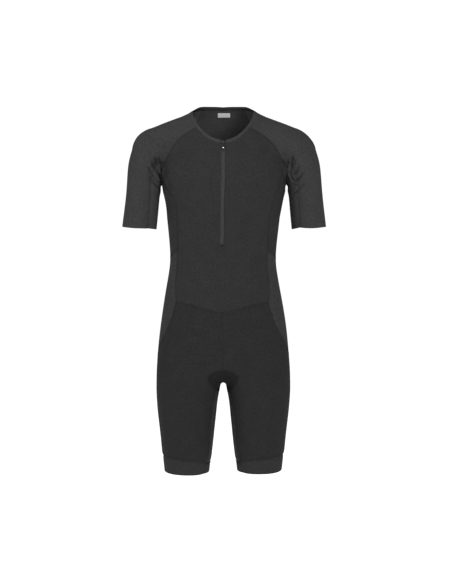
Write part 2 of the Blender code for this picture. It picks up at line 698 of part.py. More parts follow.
def build_suit():
    seams = make_seams()

    def panel(top, right, bottom, left, guides=(), cell=CELL, half=False, **depths):
        edges = [join(seams, names) for names in (top, right, bottom, left)]
        return wall(*sheet(*edges, guides, cell, half), half=half, **depths)

    front = panel("neck_front", "raglan_front side_front seat_front", "hip",
                  "zip_side zip_foot centre_waist", half=True)
    add_cloth("front_panel", front, FRONT_GREY, mirrored=True)
    back = panel("-yoke", "raglan_back side_back", "-waist", "centre_back", half=True)
    add_cloth("back_panel", back, FRONT_GREY, mirrored=True)
    yoke = panel("-neck_back", "raglan_yoke", "-yoke", "centre_yoke", cell=FINE_CELL, half=True)
    add_cloth("back_yoke", yoke, FRONT_GREY, mirrored=True)
    seat = panel("-waist -mesh_bottom", "seat_front seat_low", "gusset_back", "centre_seat",
                 half=True)
    add_cloth("seat_panel", seat, SEAT_GREY, mirrored=True)
    gusset = panel("gusset_front", "gusset_side", "gusset_back gusset_tail", "centre_gusset",
                   cell=FINE_CELL, half=True)
    add_cloth("crotch_gusset", gusset, GUSSET_GREY, mirrored=True)

    sleeve = panel("neck_side", "raglan_yoke raglan_back mesh_top_back under_back",
                   "sleeve_hem_outer", "raglan_front mesh_top_front under_front",
                   [SHOULDER_CREST], FINE_CELL)
    under = panel("armhole_front armhole_back", "under_back", "sleeve_hem_inner", "under_front",
                  [UNDER_ARM], FINE_CELL)
    mesh = panel("mesh_top_front armhole_front armhole_back -mesh_top_back", "side_back",
                 "mesh_bottom", "side_front", [SIDE_LINE], FINE_CELL)
    leg_panel = panel("hip seat_low gusset_tail", "inner_back", "cuff_outer",
                      "centre_front gusset_front inner_front",
                      [THIGH_FRONT, THIGH_OUTER, THIGH_BACK])
    inner_leg = panel("gusset_side", "inner_back", "cuff_inner", "inner_front", [INNER_LINE])
    cuff = panel("cuff_outer -cuff_inner", "cuff_seam", "leg_hem", "cuff_seam", CUFF_GUIDES,
                 outer=-CUFF_DRAW, inner=CLOTH + CUFF_DRAW)
    pairs = (
        ("sleeve", sleeve, SLEEVE_GREY),
        ("under_sleeve", under, MESH_GREY),
        ("side_mesh", mesh, MESH_GREY),
        ("leg", leg_panel, LEG_GREY),
        ("inner_leg", inner_leg, GUSSET_GREY),
        ("leg_gripper", cuff, GRIPPER_GREY),
    )
    for name, solid, colour in pairs:
        add_cloth(name + "_left", solid, colour)
        add_cloth(name + "_right", solid, colour, side=-1)

    binding = panel("neck_edge", "neck_lip", "neck_front neck_side neck_back", "neck_end",
                    cell=BINDING_CELL, outer=BINDING_RISE, inner=CLOTH + BINDING_RISE, half=True)
    add_cloth("neck_binding", binding, BINDING_GREY, mirrored=True)


def build_zip():
    under_cloth = CLOTH + TRIM_GAP
    chain = strip(ZIP_CENTRE - CHAIN_HALF, ZIP_CENTRE + CHAIN_HALF, ZIP_TOP, ZIP_END, -1.0,
                  -CHAIN_SUNK, CHAIN_SUNK + CHAIN_THICK)
    add_cloth("zip_chain", chain, CHAIN_GREY, 0.5)
    for name, side in (("zip_tape_left", 1.0), ("zip_tape_right", -1.0)):
        edges = sorted((ZIP_CENTRE + side * (CHAIN_HALF + SEAM_GAP), ZIP_CENTRE + side * TAPE_REACH))
        tape = strip(*edges, ZIP_TOP, ZIP_END, -1.0, -under_cloth, under_cloth + TAPE_THICK)
        add_cloth(name, tape, TAPE_GREY)
    garage = strip(GARAGE_RIGHT, GARAGE_LEFT, GARAGE_TOP, GARAGE_LOW, -1.0,
                   BINDING_RISE, CLOTH + BINDING_RISE, BINDING_CELL)
    add_cloth("zip_garage", garage, BINDING_GREY)
    label = strip(LABEL_RIGHT, LABEL_LEFT, LABEL_TOP, LABEL_LOW, 1.0,
                  -under_cloth, under_cloth + LABEL_THICK, LABEL_CELL)
    add_cloth("neck_label", label, LABEL_GREY)

    frame = slider_frame()
    plate_top = SLIDER_CLEAR + SLIDER_THICK - PIN_HEIGHT
    plate = block("plate", (SLIDER_WIDE, SLIDER_LONG, SLIDER_THICK),
                  (0.0, 0.0, SLIDER_THICK / 2.0 - plate_top), frame)
    slider = add_object("zip_slider", plate.data, METAL_GREY, 0.35, 0.8)
    slider.matrix_world = frame
    bpy.data.objects.remove(plate)
    bevel = slider.modifiers.new("Bevel", "BEVEL")
    bevel.width = 0.6 * MM
    bevel.segments = 2
    bridge = block("bridge", (BRIDGE_WIDE, BRIDGE_LONG, BRIDGE_TALL + ROOT),
                   (0.0, 0.0, -(plate_top + (BRIDGE_TALL - ROOT) / 2.0)), frame)
    combine(slider, bridge, "UNION")
    eye = block("eye", (BRIDGE_WIDE * 2.0, EYE_LONG, BRIDGE_TALL - BRIDGE_BAR),
                (0.0, 0.0, -(plate_top + (BRIDGE_TALL - BRIDGE_BAR) / 2.0)), frame)
    combine(slider, eye, "DIFFERENCE")

    lean = slider_frame(TAB_LEAN)
    blank = block("blank", (TAB_WIDE, TAB_LONG + TAB_END, TAB_THICK),
                  (0.0, (TAB_LONG - TAB_END) / 2.0, 0.0), lean)
    tab = add_object("pull_tab", blank.data, METAL_GREY, 0.35, 0.8)
    tab.matrix_world = lean
    bpy.data.objects.remove(blank)
    rounding = tab.modifiers.new("Bevel", "BEVEL")
    rounding.width = 0.35 * MM
    rounding.segments = 2
    window = block("window", (TAB_WINDOW_WIDE, TAB_WINDOW_REACH + TAB_END * 2.0, TAB_THICK * 3.0),
                   (0.0, (TAB_WINDOW_REACH - TAB_END * 2.0) / 2.0, 0.0), lean)
    combine(tab, window, "DIFFERENCE")
    combine(tab, pin("pin", PIN_RADIUS, TAB_WINDOW_WIDE + 1.0, lean), "UNION")


for old in list(bpy.data.objects):
    bpy.data.objects.remove(old)
suit = bpy.data.collections.new("Triathlon Suit")
cutters = bpy.data.collections.new("Cutters")
bpy.context.scene.collection.children.link(suit)
bpy.context.scene.collection.children.link(cutters)
build_suit()
build_zip()
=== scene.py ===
"""Looks of the triathlon suit: its knitted panels with their creases, seams, zip and finish.

Sizes are in millimetres unless a name says otherwise.  +Z is up, the front faces -Y and +X is
the wearer's left.  Each panel is thin cloth on a fine net, drawn between the same seams and on
the same worn form as its CAD node.
"""
import json
import math
from collections import namedtuple

import bpy
import numpy as np
from mathutils import Matrix, Vector
from mathutils.geometry import delaunay_2d_cdt
from mathutils.kdtree import KDTree

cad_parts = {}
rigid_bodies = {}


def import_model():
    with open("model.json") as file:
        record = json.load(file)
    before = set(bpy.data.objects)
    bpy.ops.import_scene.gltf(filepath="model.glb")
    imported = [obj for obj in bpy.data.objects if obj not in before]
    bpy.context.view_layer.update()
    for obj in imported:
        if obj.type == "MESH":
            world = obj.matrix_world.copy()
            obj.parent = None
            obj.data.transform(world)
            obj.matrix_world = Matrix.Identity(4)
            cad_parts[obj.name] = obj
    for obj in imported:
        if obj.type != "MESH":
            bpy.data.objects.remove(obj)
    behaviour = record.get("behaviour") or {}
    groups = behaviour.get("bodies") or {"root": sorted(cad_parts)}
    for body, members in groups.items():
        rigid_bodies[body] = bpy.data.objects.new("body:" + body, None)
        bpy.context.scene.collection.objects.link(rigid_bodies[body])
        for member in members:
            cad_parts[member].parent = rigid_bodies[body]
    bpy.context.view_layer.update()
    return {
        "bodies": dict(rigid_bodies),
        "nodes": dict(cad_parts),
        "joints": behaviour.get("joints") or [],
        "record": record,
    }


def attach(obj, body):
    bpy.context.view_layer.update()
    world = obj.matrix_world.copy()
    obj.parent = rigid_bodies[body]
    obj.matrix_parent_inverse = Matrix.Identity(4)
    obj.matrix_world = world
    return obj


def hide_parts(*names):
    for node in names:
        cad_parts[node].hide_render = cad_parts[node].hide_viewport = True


MM = 0.001
CELL = 3.3                  # spacing of the cloth's net and of the points along a seam
FOLD_CELL = 2.3             # spacing where the cloth is creased
KNIT = 0.9                  # thickness of the cloth
SEAM_DROP, RING_DROP = 0.20, 0.05            # how far the skin dips at a seam and beside it
RING = 1.2                  # from a seam to the net's first row
RING_FLAT, RING_APART, NET_APART = 0.75, 0.7, 0.42   # shares that keep a net's points apart
HEM_ROUND = 0.3             # roundness of a free edge
GRIPPER_THICK, BINDING_THICK, BINDING_ROUND = 1.3, 2.0, 0.55
BINDING_RISE = 0.5
CUFF_DRAW = 1.4             # the elastic gripper draws the leg in by this much
PINCH, PINCH_WIDTH = 1.5, 5.0                # the cloth drawn in along the gripper's edge
FOLD_REACH = 4.2            # a fold is felt this many half widths away
SWELL, SWELL_AT, SWELL_WIDTH = 0.30, 2.0, 0.8    # the cloth rises again beside a fold
WAVE_DEPTH, WAVES = 0.35, 9                  # gentle unevenness of the worn cloth

# How the worn cloth lies to one side.
ARM_SWAY, ZIP_SWAY = 2.5, -2.5
HIP_TURN = math.radians(-2.5)
NECK_SAG, SLEEVE_SAG, LEG_SAG = 1.9, 2.0, 1.6

STITCH_PITCH, THREAD = 3.0, 0.28
STITCH_SHARE, STITCH_AIM = 0.36, 0.34        # half a stitch, and the reach that gives its way
SEAM_ROWS, HEM_ROWS = (-2.1, 2.1), (2.6, 4.4)    # rows of stitches beside a seam

ZIP_CENTRE = 0.5            # the chain lies a little to the wearer's left
ZIP_TOP, ZIP_END = -83.5, -334.5
CHAIN_HALF, CHAIN_STEP = 4.0, 0.45
COIL_PITCH, COIL_RISE, COIL_INNER, COIL_OUTER = 1.8, 0.07, 0.5, 3.6
# Across the chain: two rows of coils under their tape, with a groove between them.
CHAIN_PROFILE = [(-4.0, -3.0), (-4.0, -0.75), (-3.75, -0.35), (-3.0, -0.2), (-2.0, -0.12),
                 (-1.0, -0.15), (-0.4, -0.3), (0.0, -0.75), (0.4, -0.3), (1.0, -0.15),
                 (2.0, -0.12), (3.0, -0.2), (3.75, -0.35), (4.0, -0.75), (4.0, -3.0)]
TAPE_GAP, TAPE_REACH, TAPE_THICK, TAPE_RISE, TAPE_ROUND = 0.2, 17.0, 0.7, -1.5, 0.1
GARAGE = [(-6.6, -75.5), (-1.0, -76.4), (4.3, -76.6), (4.3, -82.0), (3.4, -83.0), (-2.2, -83.0),
          (-4.4, -80.6), (-6.3, -78.2)]
GARAGE_CELL, GARAGE_THICK, GARAGE_RISE, GARAGE_ROUND = 0.8, 1.6, 0.9, 0.45
LABEL_RIGHT, LABEL_LEFT, LABEL_TOP, LABEL_LOW = -14.4, 18.2, 4.6, -6.4
LABEL_CORNER, LABEL_CELL, LABEL_THICK, LABEL_RISE, LABEL_ROUND = 0.8, 1.5, 0.6, -1.6, 0.12

SLIDER_WIDE, SLIDER_LONG, SLIDER_THICK = 8.6, 10.0, 2.0
SLIDER_CLEAR, SLIDER_TAPER, SLIDER_SQUARE = 0.4, 0.16, 3.2
SLIDER_TOP = -84.5
PIN_HEIGHT = 3.7            # the pull tab's pin above the cloth
PIN_RADIUS = 0.6
BRIDGE_WIDE, BRIDGE_LONG, BRIDGE_TALL, BRIDGE_BAR = 2.2, 6.4, 3.1, 1.0
EYE_LONG = 4.0
TAB_WIDE, TAB_LONG, TAB_THICK, TAB_END = 5.4, 12.5, 1.2, 0.9
TAB_WINDOW_WIDE, TAB_WINDOW_REACH, TAB_WINDOW_CORNER = 2.9, 4.2, 0.7
TAB_WAIST = 0.35            # the tab narrows by this much on each side between its ends
TAB_LEAN = math.radians(4.0)
SLIDER_BEVEL, TAB_BEVEL = 0.3, 0.22
STUD_DOWN, STUD_WIDE, STUD_TALL, STUD_SUNK, STUD_SIDES = 6.0, 3.4, 0.9, 0.05, 24
# The dome from its rim to near its top: shares of its half width and of its height.
STUD_RINGS = [(1.0, 0.0), (1.0, 0.35), (0.86, 0.66), (0.55, 0.88), (0.2, 0.98)]

# Colours of the cloths and the metal: greys, with the blue a little above red and green.
GREYS = {
    "front_knit": (0.0214, 0.0224),
    "sleeve_knit": (0.0290, 0.0303),
    # The under-sleeve is the sleeve's knit, painted lighter: painted light on the shaded underside
    # of the arm.
    "under_sleeve_painted_light": (0.0370, 0.0386),
    "side_mesh": (0.0205, 0.0214),
    "seat_knit": (0.0288, 0.0300),
    "leg_knit": (0.0177, 0.0186),
    "gusset_knit": (0.0112, 0.0117),
    "inner_leg_knit": (0.0290, 0.0303),
    "gripper": (0.0215, 0.0225),
    "binding": (0.0330, 0.0344),
    "thread": (0.0205, 0.0213),
    "zip_tape": (0.0300, 0.0314),
    "zip_coil": (0.0335, 0.0350),
    "label": (0.6400, 0.6500),
    "slider_metal": (0.03, 0.032),
    "polished_stud": (0.62, 0.64),
}
# The inside's lightening is partly the knit's lighter reverse and partly painted light inside the
# shaded suit.
# The seams' darkening is painted shade along each sewn seam, where its groove lies in shade.
SEAM_PAINTED_SHADE, LINING_TONE_AND_PAINTED_LIGHT = 0.05, 1.55        # how much darker a seam and lighter the inside is
SMALL_CLOUDS, LARGE_CLOUDS = 5.0, 30.0       # faint unevenness of the dye

# The studio, in metres and watts.
FLOOR, FLOOR_RADIUS, FLOOR_GLOW = -1.45, 14.0, 0.75    # where the wearer's feet would stand
WORLD_LIGHT, BACKDROP_LIGHT = 0.32, 1.05
LIGHTS = [
    ("key_light", (1.5, -2.6, 0.9), (0.0, 0.0, -0.45), 1.5, 62.0),
    ("side_light", (-2.7, -1.1, 0.9), (0.0, 0.0, -0.35), 1.5, 37.0),
    ("top_light", (-0.6, -0.9, 1.9), (0.0, 0.0, -0.1), 1.6, 25.0),
]
CAMERA_PLACE, CAMERA_TILT, CAMERA_LENS = (0.0073, -2.6, -0.215), 5.4488, 61.64
WHITE = (1.0, 1.0, 1.0, 1.0)

# Sections of the trunk: half width across, front and back faces, and how square they are.
Section = namedtuple("Section", "height half_width front back squareness")
TRUNK = [
    Section(60, 58, -50, 52, 2.0),
    Section(28, 60.5, -58, 64, 2.3),
    Section(8, 65.5, -63, 73, 2.25),
    Section(-12, 87.8, -68, 80, 2.15),
    Section(-35, 102, -74, 87, 2.15),
    Section(-65, 123, -82, 96, 2.2),
    Section(-100, 146, -93, 105, 2.3),
    Section(-140, 160, -105, 111, 2.4),
    Section(-185, 160, -113, 112, 2.45),
    Section(-235, 150, -111, 107, 2.4),
    Section(-290, 143, -104, 98, 2.3),
    Section(-340, 138.5, -98, 91, 2.3),
    Section(-385, 137.8, -95, 88, 2.3),
    Section(-430, 144.2, -95, 91, 2.3),
    Section(-490, 154.8, -97, 101, 2.3),
    Section(-550, 164, -97, 112, 2.45),
    Section(-610, 170.9, -94, 117, 2.75),
    Section(-660, 174.8, -90, 114, 2.95),
    Section(-710, 176.2, -87, 105, 3.0),
    Section(-760, 174.5, -84, 96, 3.0),
]

# Sections of a leg: inner and outer sides, front and back faces.
LegSection = namedtuple("LegSection", "height inner outer front back squareness")
LEG = [
    LegSection(-600, -10, 170, -94, 117, 2.3),
    LegSection(-650, -4, 174.8, -91, 114, 2.3),
    LegSection(-690, 3, 176.3, -89, 108, 2.25),
    LegSection(-720, 9.2, 176.6, -87.5, 102, 2.2),
    LegSection(-750, 14.6, 175.2, -86.5, 96, 2.15),
    LegSection(-785, 18.5, 172.2, -84, 88, 2.1),
    LegSection(-815, 21.8, 168.8, -81, 82, 2.1),
    LegSection(-850, 25.4, 165, -77, 75, 2.1),
    LegSection(-890, 29.8, 161.3, -72, 68, 2.1),
    LegSection(-930, 34.3, 157.3, -67, 62, 2.1),
    LegSection(-960, 37.8, 154, -63, 58, 2.1),
]

# Sections along the shoulder and the arm: distance along, outward shift, and both half sizes.
LimbSection = namedtuple("LimbSection", "along shift radius depth")
SHOULDER_FROM, SHOULDER_TO = (40, 10, -43.5), (170, 3, -89)
SHOULDER = [
    LimbSection(0, 0, 57, 62),
    LimbSection(50, 0, 54, 60),
    LimbSection(100, 0, 53, 59),
    LimbSection(149, 0, 50.5, 58),
]
ARM_FROM, ARM_TO = (187, 2, -104), (219, -6, -300)
ARM = [
    LimbSection(0, 0, 50, 59),
    LimbSection(30, 4, 50, 58),
    LimbSection(60, 6, 47.5, 56),
    LimbSection(90, 6.5, 44.5, 54),
    LimbSection(130, 4.5, 43.5, 52.5),
    LimbSection(198, 1, 44, 51),
]
SHOULDER_BLEND, ARMPIT_BLEND = 23.4, 3.0     # roundness where the arm leaves the trunk
ARMPIT_RANGE = (-105.0, -165.0)
ARMS_LOW = -450.0                            # the arms don't reach below this
CREASE_TOP = -160.0                          # below it the armhole seams lie in the arm's crease
ARM_BEND = 20.0                              # roundness over the shoulder's tip
THIGH_BLEND = 16.0
HIP_RANGE = (-635.0, -708.0)                 # over which the trunk passes into the legs

# Seams of the wearer's left half, as marks on the form: across, deep, height.
SEAMS = {
    "neck_front": [(7, -87, -82), (15, -86, -80), (32, -82, -73), (49, -75, -61), (68, -63, -41)],
    "neck_side": [(68, -63, -41), (76, -55, -28), (84, -32, -12), (86, -2, 0), (76, 30, 9),
                  (60, 50, 13)],
    "neck_back": [(60, 50, 13), (36, 66, 14), (0, 74, 13.5)],
    "raglan_front": [(68, -63, -41), (98, -58, -59), (118, -56, -76),
                     (131, -54, -93), (140, -52, -107), (149, -44, -126)],
    "raglan_yoke": [(60, 50, 13), (70, 66, -10), (80, 75, -32)],
    "raglan_back": [(80, 75, -32), (98, 76, -56), (117, 73, -80), (134, 66, -104), (149, 50, -128)],
    "yoke": [(80, 75, -32), (45, 85, -27), (0, 88, -24)],
    "mesh_top_front": [(149, -44, -126), (163, -48, -128)],
    "mesh_top_back": [(149, 50, -128), (162, 51, -130)],
    "armhole_front": [(163, -48, -128), (161, -39, -146), (160, -29, -164), (161, -22, -175),
                      (160, -10, -186), (160, 0, -188)],
    "armhole_back": [(160, 0, -188), (160, 10, -185), (161, 21, -176), (160, 29, -164),
                     (161, 40, -147), (162, 51, -130)],
    "side_front": [(149, -44, -126), (148, -46, -144), (144, -57, -161), (131, -74, -201),
                   (120, -76, -238), (116, -72, -274), (114, -67, -312), (114, -63, -350)],
    "side_back": [(149, 50, -128), (149, 50, -148), (142, 62, -172), (128, 78, -210),
                  (118, 80, -250), (112, 74, -300), (108, 66, -350), (106, 64, -384)],
    "mesh_bottom": [(114, -63, -350), (128, -40, -363), (137, -5, -374), (130, 36, -381),
                    (106, 64, -384)],
    "waist": [(106, 64, -384), (60, 84, -390), (0, 88, -394)],
    "seat_front": [(114, -63, -350), (114, -61, -381), (118, -61, -427), (118, -68, -483)],
    "hip": [(0, -97, -508), (37, -96, -499), (79, -87, -488), (118, -68, -483)],
    "seat_low": [(118, -68, -483), (125, -65, -512), (142, -54, -557), (157, -35, -592),
                 (167, -15, -618), (173, 14, -636), (168, 46, -649), (146, 84, -660),
                 (104, 108, -668), (64, 106, -674), (38, 95, -676)],
    "centre_front": [(0, -97, -508), (0, -97, -588), (0, -91, -661)],
    "gusset_front": [(0, -91, -661), (12, -91, -661), (24, -90, -663), (35, -87, -670),
                     (39, -85, -676), (37, -81, -684), (29, -68, -698), (18, -43, -717)],
    "gusset_back": [(0, 112, -655), (20, 110, -660), (38, 95, -676)],
    "gusset_tail": [(38, 95, -676), (36, 82, -692), (28, 64, -706), (18, 42, -719)],
    "gusset_side": [(18, -43, -717), (11, 0, -723), (18, 42, -719)],
    "inner_front": [(18, -43, -717), (26, -45, -756), (32, -46, -803), (36, -40, -869),
                    (44, -43, -905)],
    "inner_back": [(18, 42, -719), (26, 44, -756), (32, 42, -803), (36, 34, -869), (43, 36, -905)],
    "cuff_inner": [(44, -43, -905), (31, -4, -908), (43, 36, -905)],
    "cuff_outer": [(44, -43, -905), (60, -60, -899), (88, -71, -894), (118, -68, -891),
                   (146, -44, -890), (158, -4, -891), (145, 42, -894), (116, 62, -896),
                   (84, 64, -899), (58, 54, -902), (43, 36, -905)],
    "leg_hem": [(49, -46, -934), (66, -58, -934), (90, -66, -933.5), (118, -63, -933.5),
                (142, -42, -933.5), (155, -4, -935), (142, 36, -936), (116, 56, -936),
                (84, 58, -936.5), (56, 46, -937), (38, 18, -937.5), (34, -2, -937.5),
                (38, -24, -936), (49, -46, -934)],
    "cuff_seam": [(44, -43, -905), (49, -46, -934)],
    "under_front": [(163, -48, -128), (173, -51, -142), (181, -53, -157), (185, -52, -171),
                    (188, -50, -201), (190, -49, -240), (193, -47, -293.5)],
    "under_back": [(162, 51, -130), (173, 52, -144), (181, 52, -159), (185, 50, -174),
                   (188, 47, -204), (190, 43, -242), (193, 38, -294)],
    "sleeve_hem_outer": [(193, -47, -293.5), (218, -57, -295), (248, -42, -293.5),
                         (262, -6, -292.5), (248, 30, -293.5), (218, 45, -295), (193, 38, -294)],
    "sleeve_hem_inner": [(193, -47, -293.5), (175, -6, -299), (193, 38, -294)],
    "zip_side": [(7, -87, -82), (7, -113, -200), (7, -98, -335.5)],
    "zip_foot": [(7, -98, -335.5), (0, -97, -337.5)],
    "centre_waist": [(0, -97, -337.5), (0, -95, -430), (0, -97, -508)],
    "neck_edge": [(7, -82, -75), (18, -81, -72), (31, -77, -66.5), (43, -71, -58), (54, -64, -47),
                  (64, -54, -33), (72, -42, -18), (79, -18, 1), (80, 2, 8.5), (72, 18, 15),
                  (60, 36, 19.5), (40, 54, 20.5), (0, 66, 20)],
    "neck_end": [(7, -82, -75), (7, -87, -82)],
    "neck_lip": [(0, 66, 20), (0, 74, 13.5)],
    "centre_yoke": [(0, 74, 13.5), (0, 88, -24)],
    "centre_back": [(0, 88, -24), (0, 112, -185), (0, 98, -290), (0, 88, -394)],
    "centre_seat": [(0, 88, -394), (0, 102, -490), (0, 118, -600), (0, 112, -655)],
    "centre_gusset": [(0, -91, -661), (0, -70, -690), (0, -4, -708), (0, 80, -694),
                      (0, 112, -655)],
}

# Guides for the panels that wrap round a limb, from their top edge to their bottom edge.
SHOULDER_CREST = [(86, -2, 0), (130, 6, -24), (180, 4, -42), (216, 4, -58), (236, 2, -100),
                  (248, 0, -150), (256, -3, -200), (262, -6, -292.5)]
UNDER_ARM = [(160, 0, -188), (166, 0, -215), (172, -4, -255), (175, -6, -299)]
SIDE_LINE = [(160, 0, -188), (150, 0, -235), (142, -2, -290), (137, -5, -374)]
THIGH_FRONT = [(60, -93, -493), (75, -95, -600), (85, -92, -700), (88, -84, -800),
               (88, -71, -894)]
THIGH_OUTER = [(167, -15, -618), (175, 0, -700), (171, 0, -785), (158, -4, -891)]
THIGH_BACK = [(104, 108, -668), (96, 103, -720), (90, 84, -800), (84, 64, -899)]
INNER_LINE = [(11, 0, -723), (18, 0, -785), (26, -2, -850), (31, -4, -908)]
CUFF_GUIDES = [
    [(90, -71, -894), (90, -66, -933.5)],
    [(160, -4, -891), (155, -4, -935)],
    [(84, 64, -899), (84, 58, -936.5)],
    [(31, -4, -908), (34, -2, -937.5)],
]


def spline(knots, values, at):
    """Natural cubic spline through values at the knots, straight beyond its ends."""
    knots = np.asarray(knots, float)
    order = np.argsort(knots)
    x = knots[order]
    y = np.asarray(values, float)[order]
    step = np.diff(x)
    count = len(x)
    matrix = np.zeros((count, count))
    right = np.zeros(count)
    matrix[0, 0] = matrix[-1, -1] = 1.0
    for i in range(1, count - 1):
        matrix[i, i - 1:i + 2] = step[i - 1], 2.0 * (step[i - 1] + step[i]), step[i]
        right[i] = 6.0 * ((y[i + 1] - y[i]) / step[i] - (y[i] - y[i - 1]) / step[i - 1])
    bend = np.linalg.solve(matrix, right)
    at = np.asarray(at, float)
    inside = np.clip(at, x[0], x[-1])
    i = np.clip(np.searchsorted(x, inside) - 1, 0, count - 2)
    t = inside - x[i]
    h = step[i]
    slope = (y[i + 1] - y[i]) / h - h * (2.0 * bend[i] + bend[i + 1]) / 6.0
    twist = (bend[i + 1] - bend[i]) / h
    value = y[i] + slope * t + bend[i] / 2.0 * t**2 + twist / 6.0 * t**3
    return value + (slope + bend[i] * t + twist / 2.0 * t**2) * (at - inside)


class Table:
    """A table of sections, read at any place along its key column."""

    def __init__(self, rows, key):
        keys = [getattr(row, key) for row in rows]
        self.grid = np.linspace(min(keys), max(keys), 400)
        self.columns = {}
        for name in rows[0]._fields:
            self.columns[name] = spline(keys, [getattr(row, name) for row in rows], self.grid)

    def __call__(self, name, at):
        return np.interp(at, self.grid, self.columns[name])


trunk_at = Table(TRUNK, "height")
leg_at = Table(LEG, "height")
shoulder_at = Table(SHOULDER, "along")
arm_at = Table(ARM, "along")


def smooth_step(t):
    t = np.clip(t, 0.0, 1.0)
    return t * t * (3.0 - 2.0 * t)


def smooth_min(a, b, reach):
    """The smaller of two fields, rounded over where they meet."""
    near = np.clip(1.0 - np.abs(a - b) / reach, 0.0, None)
    return np.minimum(a, b) - near * near * reach / 4.0


def outside(across, deep, half_across, half_deep, squareness):
    """Distance outside a superellipse, measured from its centre; below 0 inside it."""
    distance = np.hypot(across, deep) + 1e-9
    ratio = (np.abs(across) / half_across) ** squareness + (np.abs(deep) / half_deep) ** squareness
    return distance * (1.0 - (ratio + 1e-12) ** (-1.0 / squareness))


def trunk(points):
    x, y, z = points.T
    front = trunk_at("front", z)
    back = trunk_at("back", z)
    middle = (front + back) / 2.0
    return outside(x, y - middle, trunk_at("half_width", z), (back - front) / 2.0,
                   trunk_at("squareness", z))


def leg(points, side):
    x, y, z = points.T
    front = leg_at("front", z)
    back = leg_at("back", z)
    inner = leg_at("inner", z)
    outer = leg_at("outer", z)
    return outside(side * x - (inner + outer) / 2.0, y - (front + back) / 2.0,
                   (outer - inner) / 2.0, (back - front) / 2.0, leg_at("squareness", z))


def limb(points, start, end, table, side):
    """Distance outside a round-ended limb whose section varies along its axis."""
    start = np.asarray(start, float)
    axis = np.asarray(end, float) - start
    length = np.linalg.norm(axis)
    axis /= length
    outward = np.cross(axis, (0.0, 1.0, 0.0))
    outward /= np.linalg.norm(outward)
    place = points * (side, 1.0, 1.0) - start
    along = place @ axis
    t = np.clip(along, 0.0, length)
    over = along - t
    across = place @ outward - table("shift", t)
    deep = place @ np.cross(outward, axis)
    radius = table("radius", t)
    distance = np.sqrt(across**2 + deep**2 + over**2) + 1e-9
    ratio = np.sqrt((across**2 + over**2) / radius**2 + (deep / table("depth", t)) ** 2) + 1e-9
    return distance * (1.0 - 1.0 / ratio)


def arm(points, side):
    shoulder = limb(points, SHOULDER_FROM, SHOULDER_TO, shoulder_at, side)
    sleeve = limb(points, ARM_FROM, ARM_TO, arm_at, side)
    return smooth_min(shoulder, sleeve, ARM_BEND)


def body(points):
    """The trunk, which passes into the two legs at the hips."""
    legs = smooth_min(leg(points, 1.0), leg(points, -1.0), THIGH_BLEND)
    share = smooth_step((HIP_RANGE[0] - points[:, 2]) / (HIP_RANGE[0] - HIP_RANGE[1]))
    return (1.0 - share) * trunk(points) + share * legs


def arms(points):
    return np.minimum(arm(points, 1.0), arm(points, -1.0))


def form(points):
    """The worn form: 0 on the outer face of the cloth, above 0 outside it."""
    height = points[:, 2]
    low = smooth_step((ARMPIT_RANGE[0] - height) / (ARMPIT_RANGE[0] - ARMPIT_RANGE[1]))
    blend = SHOULDER_BLEND + (ARMPIT_BLEND - SHOULDER_BLEND) * low
    whole = smooth_min(body(points), arms(points), blend)
    return np.where(height > ARMS_LOW, whole, body(points))


def gradient(points, field=form):
    half = 0.5
    steps = np.eye(3) * half
    return np.stack([field(points + step) - field(points - step) for step in steps], 1) / (2 * half)


def unit(vectors):
    return vectors / np.linalg.norm(vectors, axis=1)[:, None]


def normals(points):
    return unit(gradient(points))


def settle(points, rounds=5):
    """Move points onto the form along its own slope."""
    points = np.array(points, float)
    for _ in range(rounds):
        slope = gradient(points)
        steep = np.maximum((slope**2).sum(1), 0.05)
        points -= (form(points) / steep)[:, None] * slope
    return points


def into_crease(points):
    """Move points along the form into the crease where the arm leaves the trunk."""
    def between(places):
        return body(places) - arms(places)

    points = points.copy()
    for _ in range(12):
        off = np.stack([form(points), between(points)], 1)
        slopes = np.stack([gradient(points), gradient(points, between)], 1)
        points -= np.einsum("nij,nj->ni", np.linalg.pinv(slopes), off)
    return points


def lengths(points):
    """Distance along a line of points, from 0 at its first."""
    return np.append(0.0, np.cumsum(np.linalg.norm(np.diff(points, axis=0), axis=1)))


def along(points, shares):
    """Points at the given shares of a line's length."""
    run = lengths(points)
    where = np.asarray(shares, float) * run[-1]
    return np.stack([np.interp(where, run, column) for column in points.T], 1)


def drawn(marks, shares):
    """A smooth line through marks, laid on the form and read at shares of its length."""
    marks = np.asarray(marks, float)
    run = lengths(marks)
    fine = np.linspace(0.0, run[-1], 120)
    line = np.stack([spline(run, column, fine) for column in marks.T], 1)
    on_plane = np.all(marks[:, 0] == 0.0)
    line = settle(line)
    if on_plane:
        line[:, 0] = 0.0
    points = settle(along(line, shares), 2)
    if on_plane:
        points[:, 0] = 0.0
    return points


def make_seams():
    """Every seam as points a facet apart, whose ends are shared with the seams they meet."""
    in_crease = {mark for mark in SEAMS["armhole_front"] if mark[2] < CREASE_TOP}
    ends = {}
    seams = {}
    for name, marks in SEAMS.items():
        count = max(1, round(lengths(np.asarray(marks, float))[-1] / CELL))
        points = drawn(marks, np.linspace(0.0, 1.0, count + 1))
        for mark, index in ((marks[0], 0), (marks[-1], -1)):
            if mark not in ends:
                corner = settle([mark])
                ends[mark] = into_crease(corner)[0] if mark in in_crease else corner[0]
                ends[mark][0] = 0.0 if mark[0] == 0 else ends[mark][0]
            points[index] = ends[mark]
        if name.startswith("armhole"):
            low = points[:, 2] < CREASE_TOP
            points[low] = into_crease(points[low])
        seams[name] = points
    return seams


def join(seams, names):
    """One edge of a panel from several seams; a name with a minus runs backwards."""
    line = None
    for name in names.split():
        points = seams[name.lstrip("-")]
        points = points[::-1] if name.startswith("-") else points
        line = points if line is None else np.vstack([line, points[1:]])
    return line


